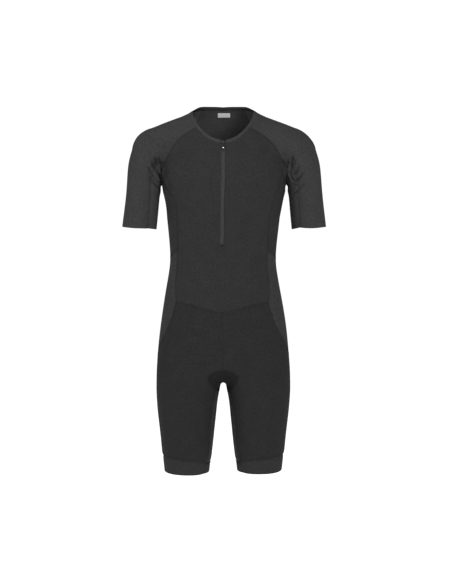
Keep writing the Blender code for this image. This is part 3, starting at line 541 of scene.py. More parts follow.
# Folds of the cloth: depth (a ridge if below 0), half width, how far it fades in and out as
# shares of its length, and its marks on the form.
Furrow = namedtuple("Furrow", "depth width fade_in fade_out marks")
FURROWS = [
    # In front of the wearer's right armpit.
    Furrow(5.6, 2.9, 0.18, 0.25, [(-175, -58, -112), (-172, -52, -130), (-169, -47, -143),
                                  (-163, -35, -160), (-159, -28, -175)]),
    Furrow(3.4, 2.3, 0.15, 0.55, [(-166, -55, -112), (-162, -48, -126), (-160, -41, -140),
                                  (-158, -36, -152)]),
    Furrow(2.8, 2.4, 0.30, 0.30, [(-166, -50, -134), (-161, -43, -146), (-158, -34, -160)]),
    Furrow(5.4, 2.9, 0.25, 0.20, [(-184, -57, -121), (-179, -54, -137), (-171, -47, -149),
                                  (-166, -38, -160), (-161, -24, -173)]),
    Furrow(4.4, 3.0, 0.20, 0.30, [(-192, -57, -138), (-187, -54, -154), (-179, -49, -166),
                                  (-171, -40, -173)]),
    Furrow(4.4, 3.2, 0.30, 0.15, [(-195, -56, -153), (-188, -53, -168), (-181, -48, -177),
                                  (-174, -39, -186), (-167, -25, -192)]),
    Furrow(2.4, 2.2, 0.20, 0.35, [(-146, -48, -132), (-145, -54, -143), (-150, -49, -152),
                                  (-155, -44, -168)]),
    Furrow(2.4, 2.2, 0.30, 0.20, [(-141, -61, -144), (-143, -61, -156), (-149, -54, -168)]),
    Furrow(5.0, 8.0, 0.25, 0.35, [(-152, -40, -166), (-150, -42, -182), (-142, -52, -204),
                                  (-134, -58, -226)]),
    Furrow(-2.2, 3.2, 0.35, 0.40, [(-139, -68, -193), (-131, -75, -203), (-128, -75, -213)]),
    Furrow(2.0, 4.5, 0.30, 0.40, [(-149, -50, -188), (-140, -64, -200), (-133, -72, -214)]),
    # In front of the left armpit.
    Furrow(5.0, 2.6, 0.15, 0.25, [(165, -43, -144), (171, -52, -128), (173, -58, -109)]),
    Furrow(4.0, 2.9, 0.18, 0.50, [(167, -43, -148), (175, -52, -134), (186, -58, -114)]),
    Furrow(4.2, 3.1, 0.15, 0.55, [(170, -43, -160), (180, -51, -155), (189, -56, -144),
                                  (202, -57, -128)]),
    Furrow(4.8, 3.1, 0.15, 0.50, [(175, -43, -177), (185, -51, -172), (194, -55, -163),
                                  (209, -56, -146)]),
    Furrow(3.4, 3.2, 0.20, 0.50, [(186, -48, -196), (196, -54, -188), (205, -56, -173)]),
    Furrow(2.4, 2.4, 0.25, 0.30, [(148, -47, -123), (156, -41, -136), (164, -41, -144)]),
    Furrow(1.6, 2.6, 0.25, 0.30, [(160, -48, -124), (162, -41, -143)]),
    Furrow(3.2, 3.2, 0.30, 0.20, [(165, -40, -153), (170, -41, -165), (177, -45, -176)]),
    Furrow(3.0, 3.2, 0.25, 0.25, [(175, -34, -207), (186, -48, -202)]),
    Furrow(2.4, 3.4, 0.25, 0.25, [(175, -40, -188), (185, -49, -183)]),
    Furrow(2.4, 5.0, 0.20, 0.60, [(156, -24, -172), (146, -53, -180), (134, -72, -204)]),
    # The cloth bridges the hollow between each arm and the chest.
    Furrow(-5.0, 7.0, 0.20, 0.30, [(-157, -52, -128), (-157, -44, -148), (-157, -34, -166)]),
    Furrow(-4.5, 7.0, 0.20, 0.30, [(153, -51, -127), (157, -44, -146), (159, -35, -165)]),
    # Under both armpits, where the sleeve parts from the side.
    Furrow(2.2, 8.0, 0.15, 0.15, [(-160, -30, -186), (-160, 0, -189), (-160, 30, -186)]),
    Furrow(2.6, 8.0, 0.15, 0.15, [(160, -30, -184), (160, 0, -188), (160, 30, -184)]),
    # Behind the right armpit.
    Furrow(3.4, 4.2, 0.45, 0.05, [(-176, 66, -108), (-168, 52, -138), (-160, 28, -170)]),
    Furrow(3.0, 3.8, 0.50, 0.10, [(-190, 56, -132), (-180, 52, -152), (-165, 36, -173)]),
    Furrow(2.2, 4.6, 0.55, 0.05, [(-192, 50, -160), (-178, 44, -182), (-164, 24, -190)]),
    Furrow(3.0, 4.2, 0.50, 0.05, [(-140, 66, -140), (-149, 48, -156), (-156, 26, -170)]),
    Furrow(1.6, 7.5, 0.40, 0.40, [(-116, 90, -168), (-134, 74, -186), (-150, 42, -190)]),
    # Behind the left armpit.
    Furrow(3.2, 4.0, 0.10, 0.55, [(160, 32, -168), (170, 54, -136), (180, 62, -112)]),
    Furrow(3.2, 4.2, 0.10, 0.55, [(165, 36, -176), (184, 54, -158), (202, 52, -140)]),
    Furrow(2.0, 4.8, 0.25, 0.55, [(170, 34, -196), (188, 48, -184), (204, 46, -168)]),
    Furrow(3.0, 4.2, 0.05, 0.60, [(156, 28, -172), (146, 58, -152), (132, 80, -128)]),
    Furrow(1.7, 8.0, 0.20, 0.60, [(150, 44, -192), (130, 76, -200), (108, 92, -196)]),
    # Soft hollows below the chest and across the small of the back.
    Furrow(0.9, 16.0, 0.35, 0.35, [(-92, -98, -236), (-48, -108, -228), (-8, -112, -232)]),
    Furrow(0.7, 18.0, 0.35, 0.35, [(12, -112, -226), (58, -107, -224), (98, -94, -238)]),
    Furrow(0.9, 12.0, 0.40, 0.40, [(-98, 70, -330), (-40, 88, -338), (20, 90, -334)]),
    Furrow(0.8, 13.0, 0.40, 0.40, [(-20, 88, -362), (48, 84, -356), (96, 68, -362)]),
    Furrow(0.8, 14.0, 0.40, 0.40, [(-70, 96, -270), (-10, 100, -262), (54, 98, -272)]),
    # Short drag lines beside the gusset and below the end of the zip.
    Furrow(1.1, 5.0, 0.10, 0.60, [(40, -85, -672), (54, -88, -664), (72, -91, -660)]),
    Furrow(0.9, 5.0, 0.10, 0.60, [(-40, -85, -674), (-56, -88, -670), (-70, -90, -668)]),
    Furrow(1.5, 2.4, 0.25, 0.25, [(-8, -98, -340), (0, -98, -340.5), (11, -98, -344.5)]),
]

# Seams that are the suit's open edges.
FREE_SEAMS = ("neck_edge", "neck_end", "zip_side", "zip_foot", "leg_hem", "sleeve_hem_outer",
              "sleeve_hem_inner")

# A piece of cloth: its points on the form, their places when flat, its triangles, and for each
# point whether it is on a seam (1) or in the row beside it (2), and whether on an open edge.
Cloth = namedtuple("Cloth", "points flat triangles rim free")


def nearest(points, line):
    """Distance to a line of points, and the share of its length at the nearest place."""
    best = np.full(len(points), np.inf)
    share = np.zeros(len(points))
    run = lengths(line)
    for i in range(len(line) - 1):
        step = line[i + 1] - line[i]
        t = np.clip((points - line[i]) @ step / (step @ step), 0.0, 1.0)
        away = np.linalg.norm(points - line[i] - t[:, None] * step, axis=1)
        closer = away < best
        best[closer] = away[closer]
        share[closer] = (run[i] + t[closer] * (run[i + 1] - run[i])) / run[-1]
    return best, share


def relief(points):
    """How far the folds draw the cloth in from the form at each point."""
    depth = np.zeros(len(points))
    for furrow, line in furrow_lines:
        reach = furrow.width * FOLD_REACH
        low, high = line.min(0) - reach, line.max(0) + reach
        near = np.nonzero(np.all((points > low) & (points < high), axis=1))[0]
        if not len(near):
            continue
        away, share = nearest(points[near], line)
        fade = smooth_step((share + 0.02) / furrow.fade_in)
        fade = fade * smooth_step((1.02 - share) / furrow.fade_out)
        q = away / furrow.width
        swell = (np.exp(-(((q - SWELL_AT) / SWELL_WIDTH) ** 2))
                 - np.exp(-(SWELL_AT / SWELL_WIDTH) ** 2))
        depth[near] += furrow.depth * fade * (np.exp(-q * q) - SWELL * swell)
    for line in cuff_lines:
        near = np.nonzero(np.abs(points[:, 2] - line[:, 2].mean()) < 40.0)[0]
        away = nearest(points[near], line)[0]
        depth[near] += PINCH * np.exp(-((away / PINCH_WIDTH) ** 2))
    for way, phase, depth_share in waves:
        depth += WAVE_DEPTH * depth_share * np.sin(points @ way + phase)
    return depth


def swayed(points):
    """The cloth as it is worn: sleeves, zip, hips and hems lie a little to one side."""
    x, y, z = points.T
    away = np.abs(x)
    sleeves = smooth_step((away - 135.0) / 30.0) * smooth_step((z + 360.0) / 40.0)
    held = np.maximum(smooth_step((z + 290.0) / 60.0), sleeves)
    shift = ARM_SWAY * smooth_step((-45.0 - z) / 50.0) * held * smooth_step((away - 40.0) / 90.0)
    zip_share = smooth_step((-150.0 - z) / 90.0) * smooth_step((z + 450.0) / 100.0)
    shift += ZIP_SWAY * zip_share * np.exp(-((x / 35.0) ** 2))
    turn = HIP_TURN * smooth_step((-300.0 - z) / 90.0) * smooth_step((z + 640.0) / 120.0)
    moved = points.copy()
    moved[:, 0] = x * np.cos(turn) - y * np.sin(turn) + shift
    moved[:, 1] = x * np.sin(turn) + y * np.cos(turn)
    moved[:, 2] -= NECK_SAG * smooth_step((z - 6.0) / 10.0) * smooth_step((y - 15.0) / 30.0)
    hem_share = smooth_step((-255.0 - z) / 35.0) * np.exp(-(((x + 194.0) / 15.0) ** 2))
    moved[:, 2] -= SLEEVE_SAG * hem_share
    moved[:, 2] += LEG_SAG * np.clip(x / 40.0, -1.0, 1.0) * smooth_step((-800.0 - z) / 120.0)
    return moved


def doubled(grid):
    """A net with one more point between every two."""
    fine = np.empty((grid.shape[0] * 2 - 1, grid.shape[1] * 2 - 1, 3))
    fine[::2, ::2] = grid
    fine[1::2, ::2] = (grid[:-1] + grid[1:]) / 2.0
    fine[:, 1::2] = (fine[:, :-2:2] + fine[:, 2::2]) / 2.0
    return fine


def relaxed(grid, rounds):
    """Even out a net's inner points on the form."""
    for _ in range(rounds):
        middle = grid[:-2, 1:-1] + grid[2:, 1:-1] + grid[1:-1, :-2] + grid[1:-1, 2:]
        grid[1:-1, 1:-1] = settle(middle.reshape(-1, 3) / 4.0, 2).reshape(middle.shape)
    return grid


def net(top, right, bottom, left, guides, cell):
    """An even net of points between a panel's four edges, relaxed on the form."""
    def fit_edges(grid):
        down = np.linspace(0.0, 1.0, grid.shape[0])
        over = np.linspace(0.0, 1.0, grid.shape[1])
        grid[0] = along(top, over)
        grid[-1] = along(bottom, over)
        grid[:, 0] = along(left, down)
        grid[:, -1] = along(right, down)
        return grid

    rows = max(2, round((lengths(left)[-1] + lengths(right)[-1]) / 8.0 / cell))
    columns = max(2, round((lengths(top)[-1] + lengths(bottom)[-1]) / 8.0 / cell))
    down = np.linspace(0.0, 1.0, rows + 1)
    stations = [along(left, down)] + [drawn(guide, down) for guide in guides] + [along(right, down)]
    grid = np.empty((rows + 1, columns + 1, 3))
    for row in range(rows + 1):
        marks = [station[row] for station in stations]
        grid[row] = drawn(marks, np.linspace(0.0, 1.0, columns + 1))
    grid = relaxed(fit_edges(grid), 60)
    grid = relaxed(fit_edges(doubled(grid)), 6)
    return relaxed(fit_edges(doubled(grid)), 3)


def sheet(top, right, bottom, left, guides=(), cell=CELL, half=False):
    """A panel of cloth from its four edges, which keep their seams' own points."""
    wide = (lengths(top)[-1] + lengths(bottom)[-1]) / 2.0
    tall = (lengths(left)[-1] + lengths(right)[-1]) / 2.0
    grid = net(top, right, bottom, left, guides, cell)
    lean = left[:, 0] / wide * half

    def chart(u, v):
        bow = np.interp(1.0 - v, lengths(left) / lengths(left)[-1], lean)
        return np.stack([(bow + (1.0 - bow) * u) * wide, v * tall], -1)

    flat = []
    loop = []
    for edge, start, end in (
        (top, (0.0, 1.0), (1.0, 1.0)),
        (right, (1.0, 1.0), (1.0, 0.0)),
        (bottom[::-1], (1.0, 0.0), (0.0, 0.0)),
        (left[::-1], (0.0, 0.0), (0.0, 1.0)),
    ):
        share = lengths(edge)[:-1] / lengths(edge)[-1]
        corners = np.outer(1.0 - share, start) + np.outer(share, end)
        flat.append(chart(*corners.T))
        loop.append(edge[:-1])
    loop = np.vstack(loop)
    flat = np.vstack(flat)
    rows, columns = grid.shape[0] - 1, grid.shape[1] - 1
    v, u = np.meshgrid(1.0 - np.arange(1, rows) / rows, np.arange(1, columns) / columns,
                       indexing="ij")
    inner = grid[1:-1, 1:-1].reshape(-1, 3)
    inner_flat = chart(u.ravel(), v.ravel())
    return filled(loop, flat, inner, inner_flat, cell)


def tree_of(points):
    """A tree that finds the nearest of these points."""
    tree = KDTree(len(points))
    for i, point in enumerate(points):
        tree.insert(point, i)
    tree.balance()
    return tree


def corner_ways(ways):
    """Ways at a loop's points, from those of its edges."""
    ways = unit(ways)
    return unit(ways + np.roll(ways, 1, axis=0))


def triangulated(flat, count):
    """Triangles between flat places, the first of which are the outline."""
    edges = [(i, (i + 1) % count) for i in range(count)]
    found = delaunay_2d_cdt([Vector(place) for place in flat], edges, [], 1, 1e-6)
    origin = [owners[0] if owners else -1 for owners in found[3]]
    triangles = np.array([[origin[v] for v in face] for face in found[2]])
    return triangles[(triangles >= 0).all(1)]


def faced_out(points, triangles):
    """The triangles, turned to face out of the form."""
    a, b, c = (points[triangles[:, k]] for k in range(3))
    facing = np.einsum("ij,ij->i", np.cross(b - a, c - a), normals((a + b + c) / 3.0))
    return triangles[:, ::-1] if facing.sum() < 0.0 else triangles


def filled(loop, flat, inner, inner_flat, cell):
    """Cloth inside a loop of points, from the points within it; all have a place when flat."""
    count = len(loop)
    ahead = np.roll(loop, -1, axis=0)
    in_plane = (np.abs(loop[:, 0]) < 1e-6) & (np.abs(ahead[:, 0]) < 1e-6)
    turning = np.sum(flat[:, 0] * np.roll(flat[:, 1], -1) - np.roll(flat[:, 0], -1) * flat[:, 1])
    edge_in = np.roll(flat, -1, axis=0) - flat
    inward = corner_ways(np.stack([-edge_in[:, 1], edge_in[:, 0]], 1) * np.sign(turning))
    side = corner_ways(np.cross(normals(loop), ahead - loop))
    tree = tree_of(inner)
    toward = np.array([inner[tree.find(point)[1]] for point in loop]) - loop
    if np.sum(np.einsum("ij,ij->i", toward, side)) < 0.0:
        side = -side
    sewn = ~in_plane & ~np.roll(in_plane, 1)
    ring = settle(loop[sewn] + side[sewn] * RING, 2)
    ring_flat = flat[sewn] + inward[sewn] * RING * RING_FLAT
    # Points of the ring and the net that lie too near the rim are left out.
    rim_tree = tree_of(np.vstack([loop, (loop + ahead) / 2.0]))
    keep = np.array([rim_tree.find(point)[2] > RING * RING_APART for point in ring])
    ring, ring_flat = ring[keep], ring_flat[keep]
    clear = np.array([rim_tree.find(point)[2] > RING + cell * NET_APART for point in inner])
    points = np.vstack([loop, ring, inner[clear]])
    flat = np.vstack([flat, ring_flat, inner_flat[clear]])
    triangles = faced_out(points, triangulated(flat, count))
    rim = np.zeros(len(points), int)
    rim[:count] = 1
    rim[count:count + len(ring)] = 2
    rim[:count][in_plane & np.roll(in_plane, 1)] = 0
    free = np.zeros(len(points), bool)
    free[:count] = [tuple(point) in free_points for point in loop]
    return Cloth(points, flat, triangles, rim, free)


def opposite(cloth):
    """The same piece on the other side of the suit."""
    return Cloth(cloth.points * (-1.0, 1.0, 1.0), cloth.flat * (-1.0, 1.0),
                 cloth.triangles[:, ::-1], cloth.rim, cloth.free)


def whole(half):
    """Both halves of a centre panel, joined in the suit's middle plane."""
    apart = np.abs(half.points[:, 0]) > 1e-6
    count = len(half.points)
    other = np.where(apart, count + np.cumsum(apart) - 1, np.arange(count))
    mirror = opposite(half)
    return Cloth(
        np.vstack([half.points, mirror.points[apart]]),
        np.vstack([half.flat, mirror.flat[apart]]),
        np.vstack([half.triangles, other[mirror.triangles]]),
        np.append(half.rim, half.rim[apart]),
        np.append(half.free, half.free[apart]),
    )


def boundary(triangles):
    """The directed edges that only one triangle has."""
    edges = np.vstack([triangles[:, [0, 1]], triangles[:, [1, 2]], triangles[:, [2, 0]]])
    span = triangles.max() + 1
    codes = edges[:, 0] * span + edges[:, 1]
    back = edges[:, 1] * span + edges[:, 0]
    return edges[~np.isin(codes, back)]


def cloth_piece(name, cloth, material, thickness=KNIT, rise=0.0, round_edge=HEM_ROUND):
    """A closed shell of cloth: skin and lining follow the form and its folds."""
    up = normals(cloth.points)
    sunk = np.select([cloth.rim == 1, cloth.rim == 2], [SEAM_DROP, RING_DROP], 0.0)
    hem = cloth.free & (cloth.rim == 1)
    sunk[hem] = round_edge
    depth = relief(cloth.points) - rise
    skin = cloth.points - up * (depth + sunk)[:, None]
    lining = cloth.points - up * (depth + thickness - round_edge * hem)[:, None]
    count = len(skin)
    rim = boundary(cloth.triangles)
    ahead = cloth.points[rim[:, 1]] - cloth.points[rim[:, 0]]
    outward = np.zeros_like(cloth.points)
    push = unit(np.cross(ahead, up[rim[:, 0]]))
    for end in (0, 1):
        np.add.at(outward, rim[:, end], push)
    outward /= np.linalg.norm(outward, axis=1)[:, None] + 1e-9
    is_rim = np.zeros(count, bool)
    is_rim[rim.ravel()] = True
    rolled = np.nonzero(is_rim & cloth.free)[0]
    fold = (skin[rolled] + lining[rolled]) / 2.0 + outward[rolled] * round_edge
    fold_index = {int(v): 2 * count + i for i, v in enumerate(rolled)}
    faces = cloth.triangles.tolist() + (cloth.triangles[:, ::-1] + count).tolist()
    for a, b in rim.tolist():
        if a in fold_index and b in fold_index:
            faces.append((b, a, fold_index[a], fold_index[b]))
            faces.append((fold_index[b], fold_index[a], a + count, b + count))
        else:
            faces.append((b, a, a + count, b + count))
    points = swayed(np.vstack([skin, lining, fold]))
    flat = np.vstack([cloth.flat, cloth.flat, cloth.flat[rolled]])
    # Painted shade along the sewn seams: full on a seam, 0.4 on the row beside it, none on open
    # edges.
    seam = np.zeros(len(points))
    seam[:count] = np.select([cloth.rim == 1, cloth.rim == 2], [1.0, 0.4], 0.0) * ~cloth.free
    item = add_piece(name, points, faces, material, flat, seam)
    # The lining is lighter: partly the knit's lighter reverse, partly painted light in the suit's
    # shaded inside.
    reverse = item.data.attributes.new("reverse", "FLOAT", "POINT")
    reverse.data.foreach_set("value", ((np.arange(len(points)) // count) == 1).astype(float))
    return item


def add_piece(name, points, faces, material, flat=None, seam=None, sharp=50.0):
    """Add a piece from points in millimetres; its texture runs along its flat cut."""
    mesh = bpy.data.meshes.new(name)
    mesh.from_pydata((np.asarray(points) * MM).tolist(), [], faces)
    mesh.update()
    mesh.shade_smooth()
    mesh.set_sharp_from_angle(angle=math.radians(sharp))
    corner = np.empty(len(mesh.loops), int)
    mesh.loops.foreach_get("vertex_index", corner)
    if flat is None:
        flat = np.asarray(points)[:, [0, 2]]
    layer = mesh.uv_layers.new(name="cut")
    layer.data.foreach_set("uv", (np.asarray(flat)[corner] * MM).ravel())
    # The seam value is painted shade along the seams.
    shade = mesh.attributes.new("seam", "FLOAT", "POINT")
    shade.data.foreach_set("value", np.zeros(len(points)) if seam is None else seam)
    mesh.materials.append(material)
    item = bpy.data.objects.new(name, mesh)
    bpy.context.scene.collection.objects.link(item)
    return item


def on_face(across, height, face):
    """Points of the form straight in front (-1) or behind (1) of places on the trunk."""
    points = np.stack([across, np.full(np.shape(across), 95.0 * face), height], 1)
    for _ in range(12):
        points[:, 1] -= form(points) / gradient(points)[:, 1]
    return points


def patch(outline, face, cell=2.0):
    """A small trim laid on the trunk, with an outline of (across, height) places."""
    places = np.asarray(outline, float)
    loop = []
    for start, end in zip(places, np.roll(places, -1, axis=0)):
        count = max(1, round(math.dist(start, end) / cell))
        loop += [start + (end - start) * i / count for i in range(count)]
    loop = np.array(loop)
    low, high = loop.min(0), loop.max(0)
    spans = [np.linspace(start, end, max(3, round((end - start) / cell)) + 1)[1:-1]
             for start, end in zip(low, high)]
    inner = np.stack(np.meshgrid(*spans), -1).reshape(-1, 2)
    ahead = np.roll(loop, -1, axis=0)
    crossing = (loop[:, 1] > inner[:, 1:]) != (ahead[:, 1] > inner[:, 1:])
    rise = np.where(ahead[:, 1] == loop[:, 1], 1.0, ahead[:, 1] - loop[:, 1])
    at = loop[:, 0] + (inner[:, 1:] - loop[:, 1]) * (ahead[:, 0] - loop[:, 0]) / rise
    within = (crossing & (inner[:, :1] < at)).sum(1) % 2 == 1
    gap = np.linalg.norm(inner[:, None] - loop, axis=2).min(1)
    inner = inner[within & (gap > cell * 0.6)]
    places = np.vstack([loop, inner])
    points = on_face(places[:, 0], places[:, 1], face)
    triangles = faced_out(points, triangulated(places, len(loop)))
    rim = np.zeros(len(points), int)
    rim[:len(loop)] = 1
    return Cloth(points, places, triangles, rim, rim == 1)


def capsules(starts, ends, up, radius):
    """Short lengths of thread with pointed ends, as one set of points and faces."""
    along_it = unit(ends - starts)
    across = unit(np.cross(along_it, up))
    over = np.cross(across, along_it)
    rings = []
    for place in (starts, ends):
        rings += [place + across * radius, place + over * radius, place - across * radius,
                  place - over * radius]
    tips = [starts - along_it * radius * 1.2, ends + along_it * radius * 1.2]
    points = np.stack(rings + tips, 1).reshape(-1, 3)
    shape = []
    for i in range(4):
        j = (i + 1) % 4
        shape += [(i, j, j + 4, i + 4), (j, i, 8), (i + 4, j + 4, 9)]
    faces = [tuple(v + 10 * k for v in face) for k in range(len(starts)) for face in shape]
    return points, faces


def on_cloth(points):
    """Places on the worn cloth's skin near the given points, and the way out of it there."""
    points = settle(points, 3)
    up = normals(points)
    return points - up * relief(points)[:, None], up


def stitches(line, offsets):
    """Two rows of stitches beside a seam, and the thread that crosses it from row to row."""
    count = max(2, int(lengths(line)[-1] / STITCH_PITCH))
    shares = (np.arange(count) + 0.5) / count
    reach = STITCH_AIM / count
    middle = along(line, shares)
    ahead = unit(along(line, np.minimum(shares + reach, 1.0))
                 - along(line, np.maximum(shares - reach, 0.0)))
    aside = unit(np.cross(normals(middle), ahead))
    step = STITCH_PITCH * STITCH_SHARE
    first, last = offsets
    found = []
    for start, end in ((first, first), (last, last), (first, last)):
        starts, up = on_cloth(middle + aside * start - ahead * step)
        ends, _ = on_cloth(middle + aside * end + ahead * step)
        found.append((starts, ends, up))
    return [np.vstack(part) for part in zip(*found)]


def both_sides(line):
    return [line, line * (-1.0, 1.0, 1.0)]


def principled(name):
    """A new material with its node tree and its shader."""
    material = bpy.data.materials.new(name)
    material.use_nodes = True
    return material, material.node_tree, material.node_tree.nodes["Principled BSDF"]


def colour_of(name):
    grey, blue = GREYS[name]
    return grey, grey, blue


def maths(tree, operation, first, second):
    node = tree.nodes.new("ShaderNodeMath")
    node.operation = operation
    for socket, value in zip(node.inputs, (first, second)):
        if isinstance(value, (int, float)):
            socket.default_value = value
        else:
            tree.links.new(value, socket)
    return node.outputs[0]


def bands(tree, uv, direction, pitch):
    """A wave of the given pitch in millimetres across the cloth's cut."""
    wave = tree.nodes.new("ShaderNodeTexWave")
    wave.bands_direction = direction
    wave.inputs["Scale"].default_value = 2.0 * math.pi / (20.0 * pitch * MM)
    tree.links.new(uv, wave.inputs["Vector"])
    return wave.outputs["Fac"]


def noise(tree, uv, size, detail=2.0):
    """Cloudy noise whose clouds are about this many millimetres across."""
    node = tree.nodes.new("ShaderNodeTexNoise")
    node.inputs["Scale"].default_value = 1.0 / (size * MM)
    node.inputs["Detail"].default_value = detail
    tree.links.new(uv, node.inputs["Vector"])
    return node.outputs["Fac"]


def point_value(tree, name):
    """A value that the mesh keeps at its points."""
    node = tree.nodes.new("ShaderNodeAttribute")
    node.attribute_name = name
    return node.outputs["Fac"]


def uneven(tree, shader, smooth, more, size):
    """Vary a metal's roughness over its surface."""
    place = tree.nodes.new("ShaderNodeTexCoord").outputs["Object"]
    cloud = maths(tree, "MULTIPLY", noise(tree, place, size), more)
    tree.links.new(maths(tree, "ADD", smooth, cloud), shader.inputs["Roughness"])


def fabric(name, wales=0.9, courses=0.7, bump=0.12, mottle=0.75, roughness=0.9,
           lining=LINING_TONE_AND_PAINTED_LIGHT, weave="knit"):
    """Cloth whose colour and height vary with its stitches; sizes in millimetres."""
    material, tree, shader = principled(name)
    uv = tree.nodes.new("ShaderNodeUVMap").outputs["UV"]

    def times(first, second):
        return maths(tree, "MULTIPLY", first, second)

    def plus(first, second):
        return maths(tree, "ADD", first, second)

    lift = times(bands(tree, uv, "X", wales), bands(tree, uv, "Y", courses))
    if weave == "mesh":
        lift = plus(lift, times(bands(tree, uv, "DIAGONAL", wales), 0.4))
    elif weave == "rib":
        lift = plus(bands(tree, uv, "X", wales), times(lift, 0.4))
    elif weave == "course":
        lift = plus(bands(tree, uv, "Y", courses), times(lift, 0.4))
    clouds = plus(noise(tree, uv, SMALL_CLOUDS), times(noise(tree, uv, LARGE_CLOUDS), 0.4))
    tone = plus(1.0 - 0.7 * mottle, times(clouds, mottle))
    # Painted shade darkens the cloth along its seams.
    seam = times(point_value(tree, "seam"), SEAM_PAINTED_SHADE)
    tone = times(tone, maths(tree, "SUBTRACT", 1.0, seam))
    # The lining is lightened: partly the knit's lighter reverse, partly painted light inside the
    # suit.
    tone = times(tone, plus(1.0, times(point_value(tree, "reverse"), lining)))
    tone = times(tone, plus(0.88, times(lift, 0.2)))
    tint = tree.nodes.new("ShaderNodeVectorMath")
    tint.operation = "SCALE"
    tint.inputs[0].default_value = colour_of(name)
    tree.links.new(tone, tint.inputs["Scale"])
    tree.links.new(tint.outputs[0], shader.inputs["Base Color"])
    raised = tree.nodes.new("ShaderNodeBump")
    raised.inputs["Strength"].default_value = 0.6
    raised.inputs["Distance"].default_value = bump * MM
    tree.links.new(lift, raised.inputs["Height"])
    tree.links.new(raised.outputs["Normal"], shader.inputs["Normal"])
    shader.inputs["Roughness"].default_value = roughness
    shader.inputs["Specular IOR Level"].default_value = 0.08
    return material


def metal(name, metallic, smooth, more, size):
    """Metal with faint unevenness of this size in its polish."""
    material, tree, shader = principled(name)
    uneven(tree, shader, smooth, more, size)
    shader.inputs["Base Color"].default_value = (*colour_of(name), 1.0)
    shader.inputs["Metallic"].default_value = metallic
    return material


def show(item, node):
    """The piece stands for its CAD node, which it hides, and rides that node's body."""
    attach(item, "pull_tab" if node == "pull_tab" else "suit")
    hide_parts(node)
    return item


def build_cloth():
    """All panels and the binding; gives back the binding's cloth, which the zip uses too."""
    def panel(top, right, bottom, left, guides=(), half=False, cell=CELL):
        edges = [join(seams, names) for names in (top, right, bottom, left)]
        cloth = sheet(*edges, guides, cell, half)
        return whole(cloth) if half else cloth

    def single(name, slot, material, cloth, **how):
        show(cloth_piece(name, cloth, material, **how), name)

    def pair(name, slot, material, cloth, **how):
        single(name + "_left", slot, material, cloth, **how)
        single(name + "_right", slot, material, opposite(cloth), **how)

    front_knit = fabric("front_knit")
    sleeve_knit = fabric("sleeve_knit", wales=1.3, courses=0.8, weave="rib")
    # The under-sleeve's knit is the sleeve's, painted lighter as painted light under the arm.
    under_knit_painted_light = fabric("under_sleeve_painted_light", wales=1.3, courses=0.8, weave="rib")
    side_mesh = fabric("side_mesh", wales=1.5, courses=1.5, bump=0.3, weave="mesh")
    seat_knit = fabric("seat_knit")
    leg_knit = fabric("leg_knit", wales=0.8, courses=0.6)
    gusset_knit = fabric("gusset_knit")
    inner_knit = fabric("inner_leg_knit")
    gripper = fabric("gripper", wales=1.1, courses=1.6, bump=0.18, weave="course")
    binding = fabric("binding", wales=1.0, courses=0.8, lining=0.0)

    single("front_panel", "front_knit", front_knit,
           panel("neck_front", "raglan_front side_front seat_front", "hip",
                 "zip_side zip_foot centre_waist", half=True))
    single("back_panel", "front_knit", front_knit,
           panel("-yoke", "raglan_back side_back", "-waist", "centre_back", half=True))
    single("back_yoke", "front_knit", front_knit,
           panel("-neck_back", "raglan_yoke", "-yoke", "centre_yoke", half=True))
    single("seat_panel", "seat_knit", seat_knit,
           panel("-waist -mesh_bottom", "seat_front seat_low", "gusset_back", "centre_seat",
                 half=True))
    single("crotch_gusset", "gusset_knit", gusset_knit,
           panel("gusset_front", "gusset_side", "gusset_back gusset_tail", "centre_gusset",
                 half=True))
    pair("sleeve", "sleeve_knit", sleeve_knit,
         panel("neck_side", "raglan_yoke raglan_back mesh_top_back under_back",
               "sleeve_hem_outer", "raglan_front mesh_top_front under_front", [SHOULDER_CREST],
               cell=FOLD_CELL))
    pair("under_sleeve", "sleeve_knit", under_knit_painted_light,
         panel("armhole_front armhole_back", "under_back", "sleeve_hem_inner", "under_front",
               [UNDER_ARM], cell=FOLD_CELL))
    pair("side_mesh", "side_mesh", side_mesh,
         panel("mesh_top_front armhole_front armhole_back -mesh_top_back", "side_back",
               "mesh_bottom", "side_front", [SIDE_LINE], cell=FOLD_CELL))
    pair("leg", "leg_knit", leg_knit,
         panel("hip seat_low gusset_tail", "inner_back", "cuff_outer",
               "centre_front gusset_front inner_front",
               [THIGH_FRONT, THIGH_OUTER, THIGH_BACK]))
    pair("inner_leg", "gusset_knit", inner_knit,
         panel("gusset_side", "inner_back", "cuff_inner", "inner_front", [INNER_LINE]))
    pair("leg_gripper", "gripper", gripper,
         panel("cuff_outer -cuff_inner", "cuff_seam", "leg_hem", "cuff_seam", CUFF_GUIDES),
         rise=-CUFF_DRAW, thickness=GRIPPER_THICK)
    bound = panel("neck_edge", "neck_lip", "neck_front neck_side neck_back", "neck_end", half=True)
    bound = bound._replace(free=bound.rim == 1)
    single("neck_binding", "binding", binding, bound, rise=BINDING_RISE,
           thickness=BINDING_THICK, round_edge=BINDING_ROUND)
    return binding


def build_stitching():
    """Flat rows of thread along every seam, and two rows above each gripper."""
    thread = fabric("thread", bump=0.02, mottle=0.05)
    parts = []
    for name in ("raglan_front", "raglan_yoke", "raglan_back", "under_front", "under_back",
                 "side_front", "side_back", "mesh_top_front", "mesh_top_back", "mesh_bottom",
                 "seat_front", "seat_low", "gusset_front", "gusset_tail", "gusset_side",
                 "inner_front", "inner_back", "yoke", "waist", "hip", "gusset_back"):
        parts += [stitches(line, SEAM_ROWS) for line in both_sides(seams[name])]
    parts.append(stitches(seams["centre_front"], SEAM_ROWS))
    for name in ("cuff_outer", "cuff_inner"):
        for line in both_sides(seams[name]):
            side = math.copysign(1.0, line[0, 0])
            parts.append(stitches(line, [side * row for row in HEM_ROWS]))
    starts, ends, up = [np.vstack(part) for part in zip(*parts)]
    points, faces = capsules(starts, ends, up, THREAD)
    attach(add_piece("seam_stitching", swayed(points), faces, thread, sharp=180.0), "suit")


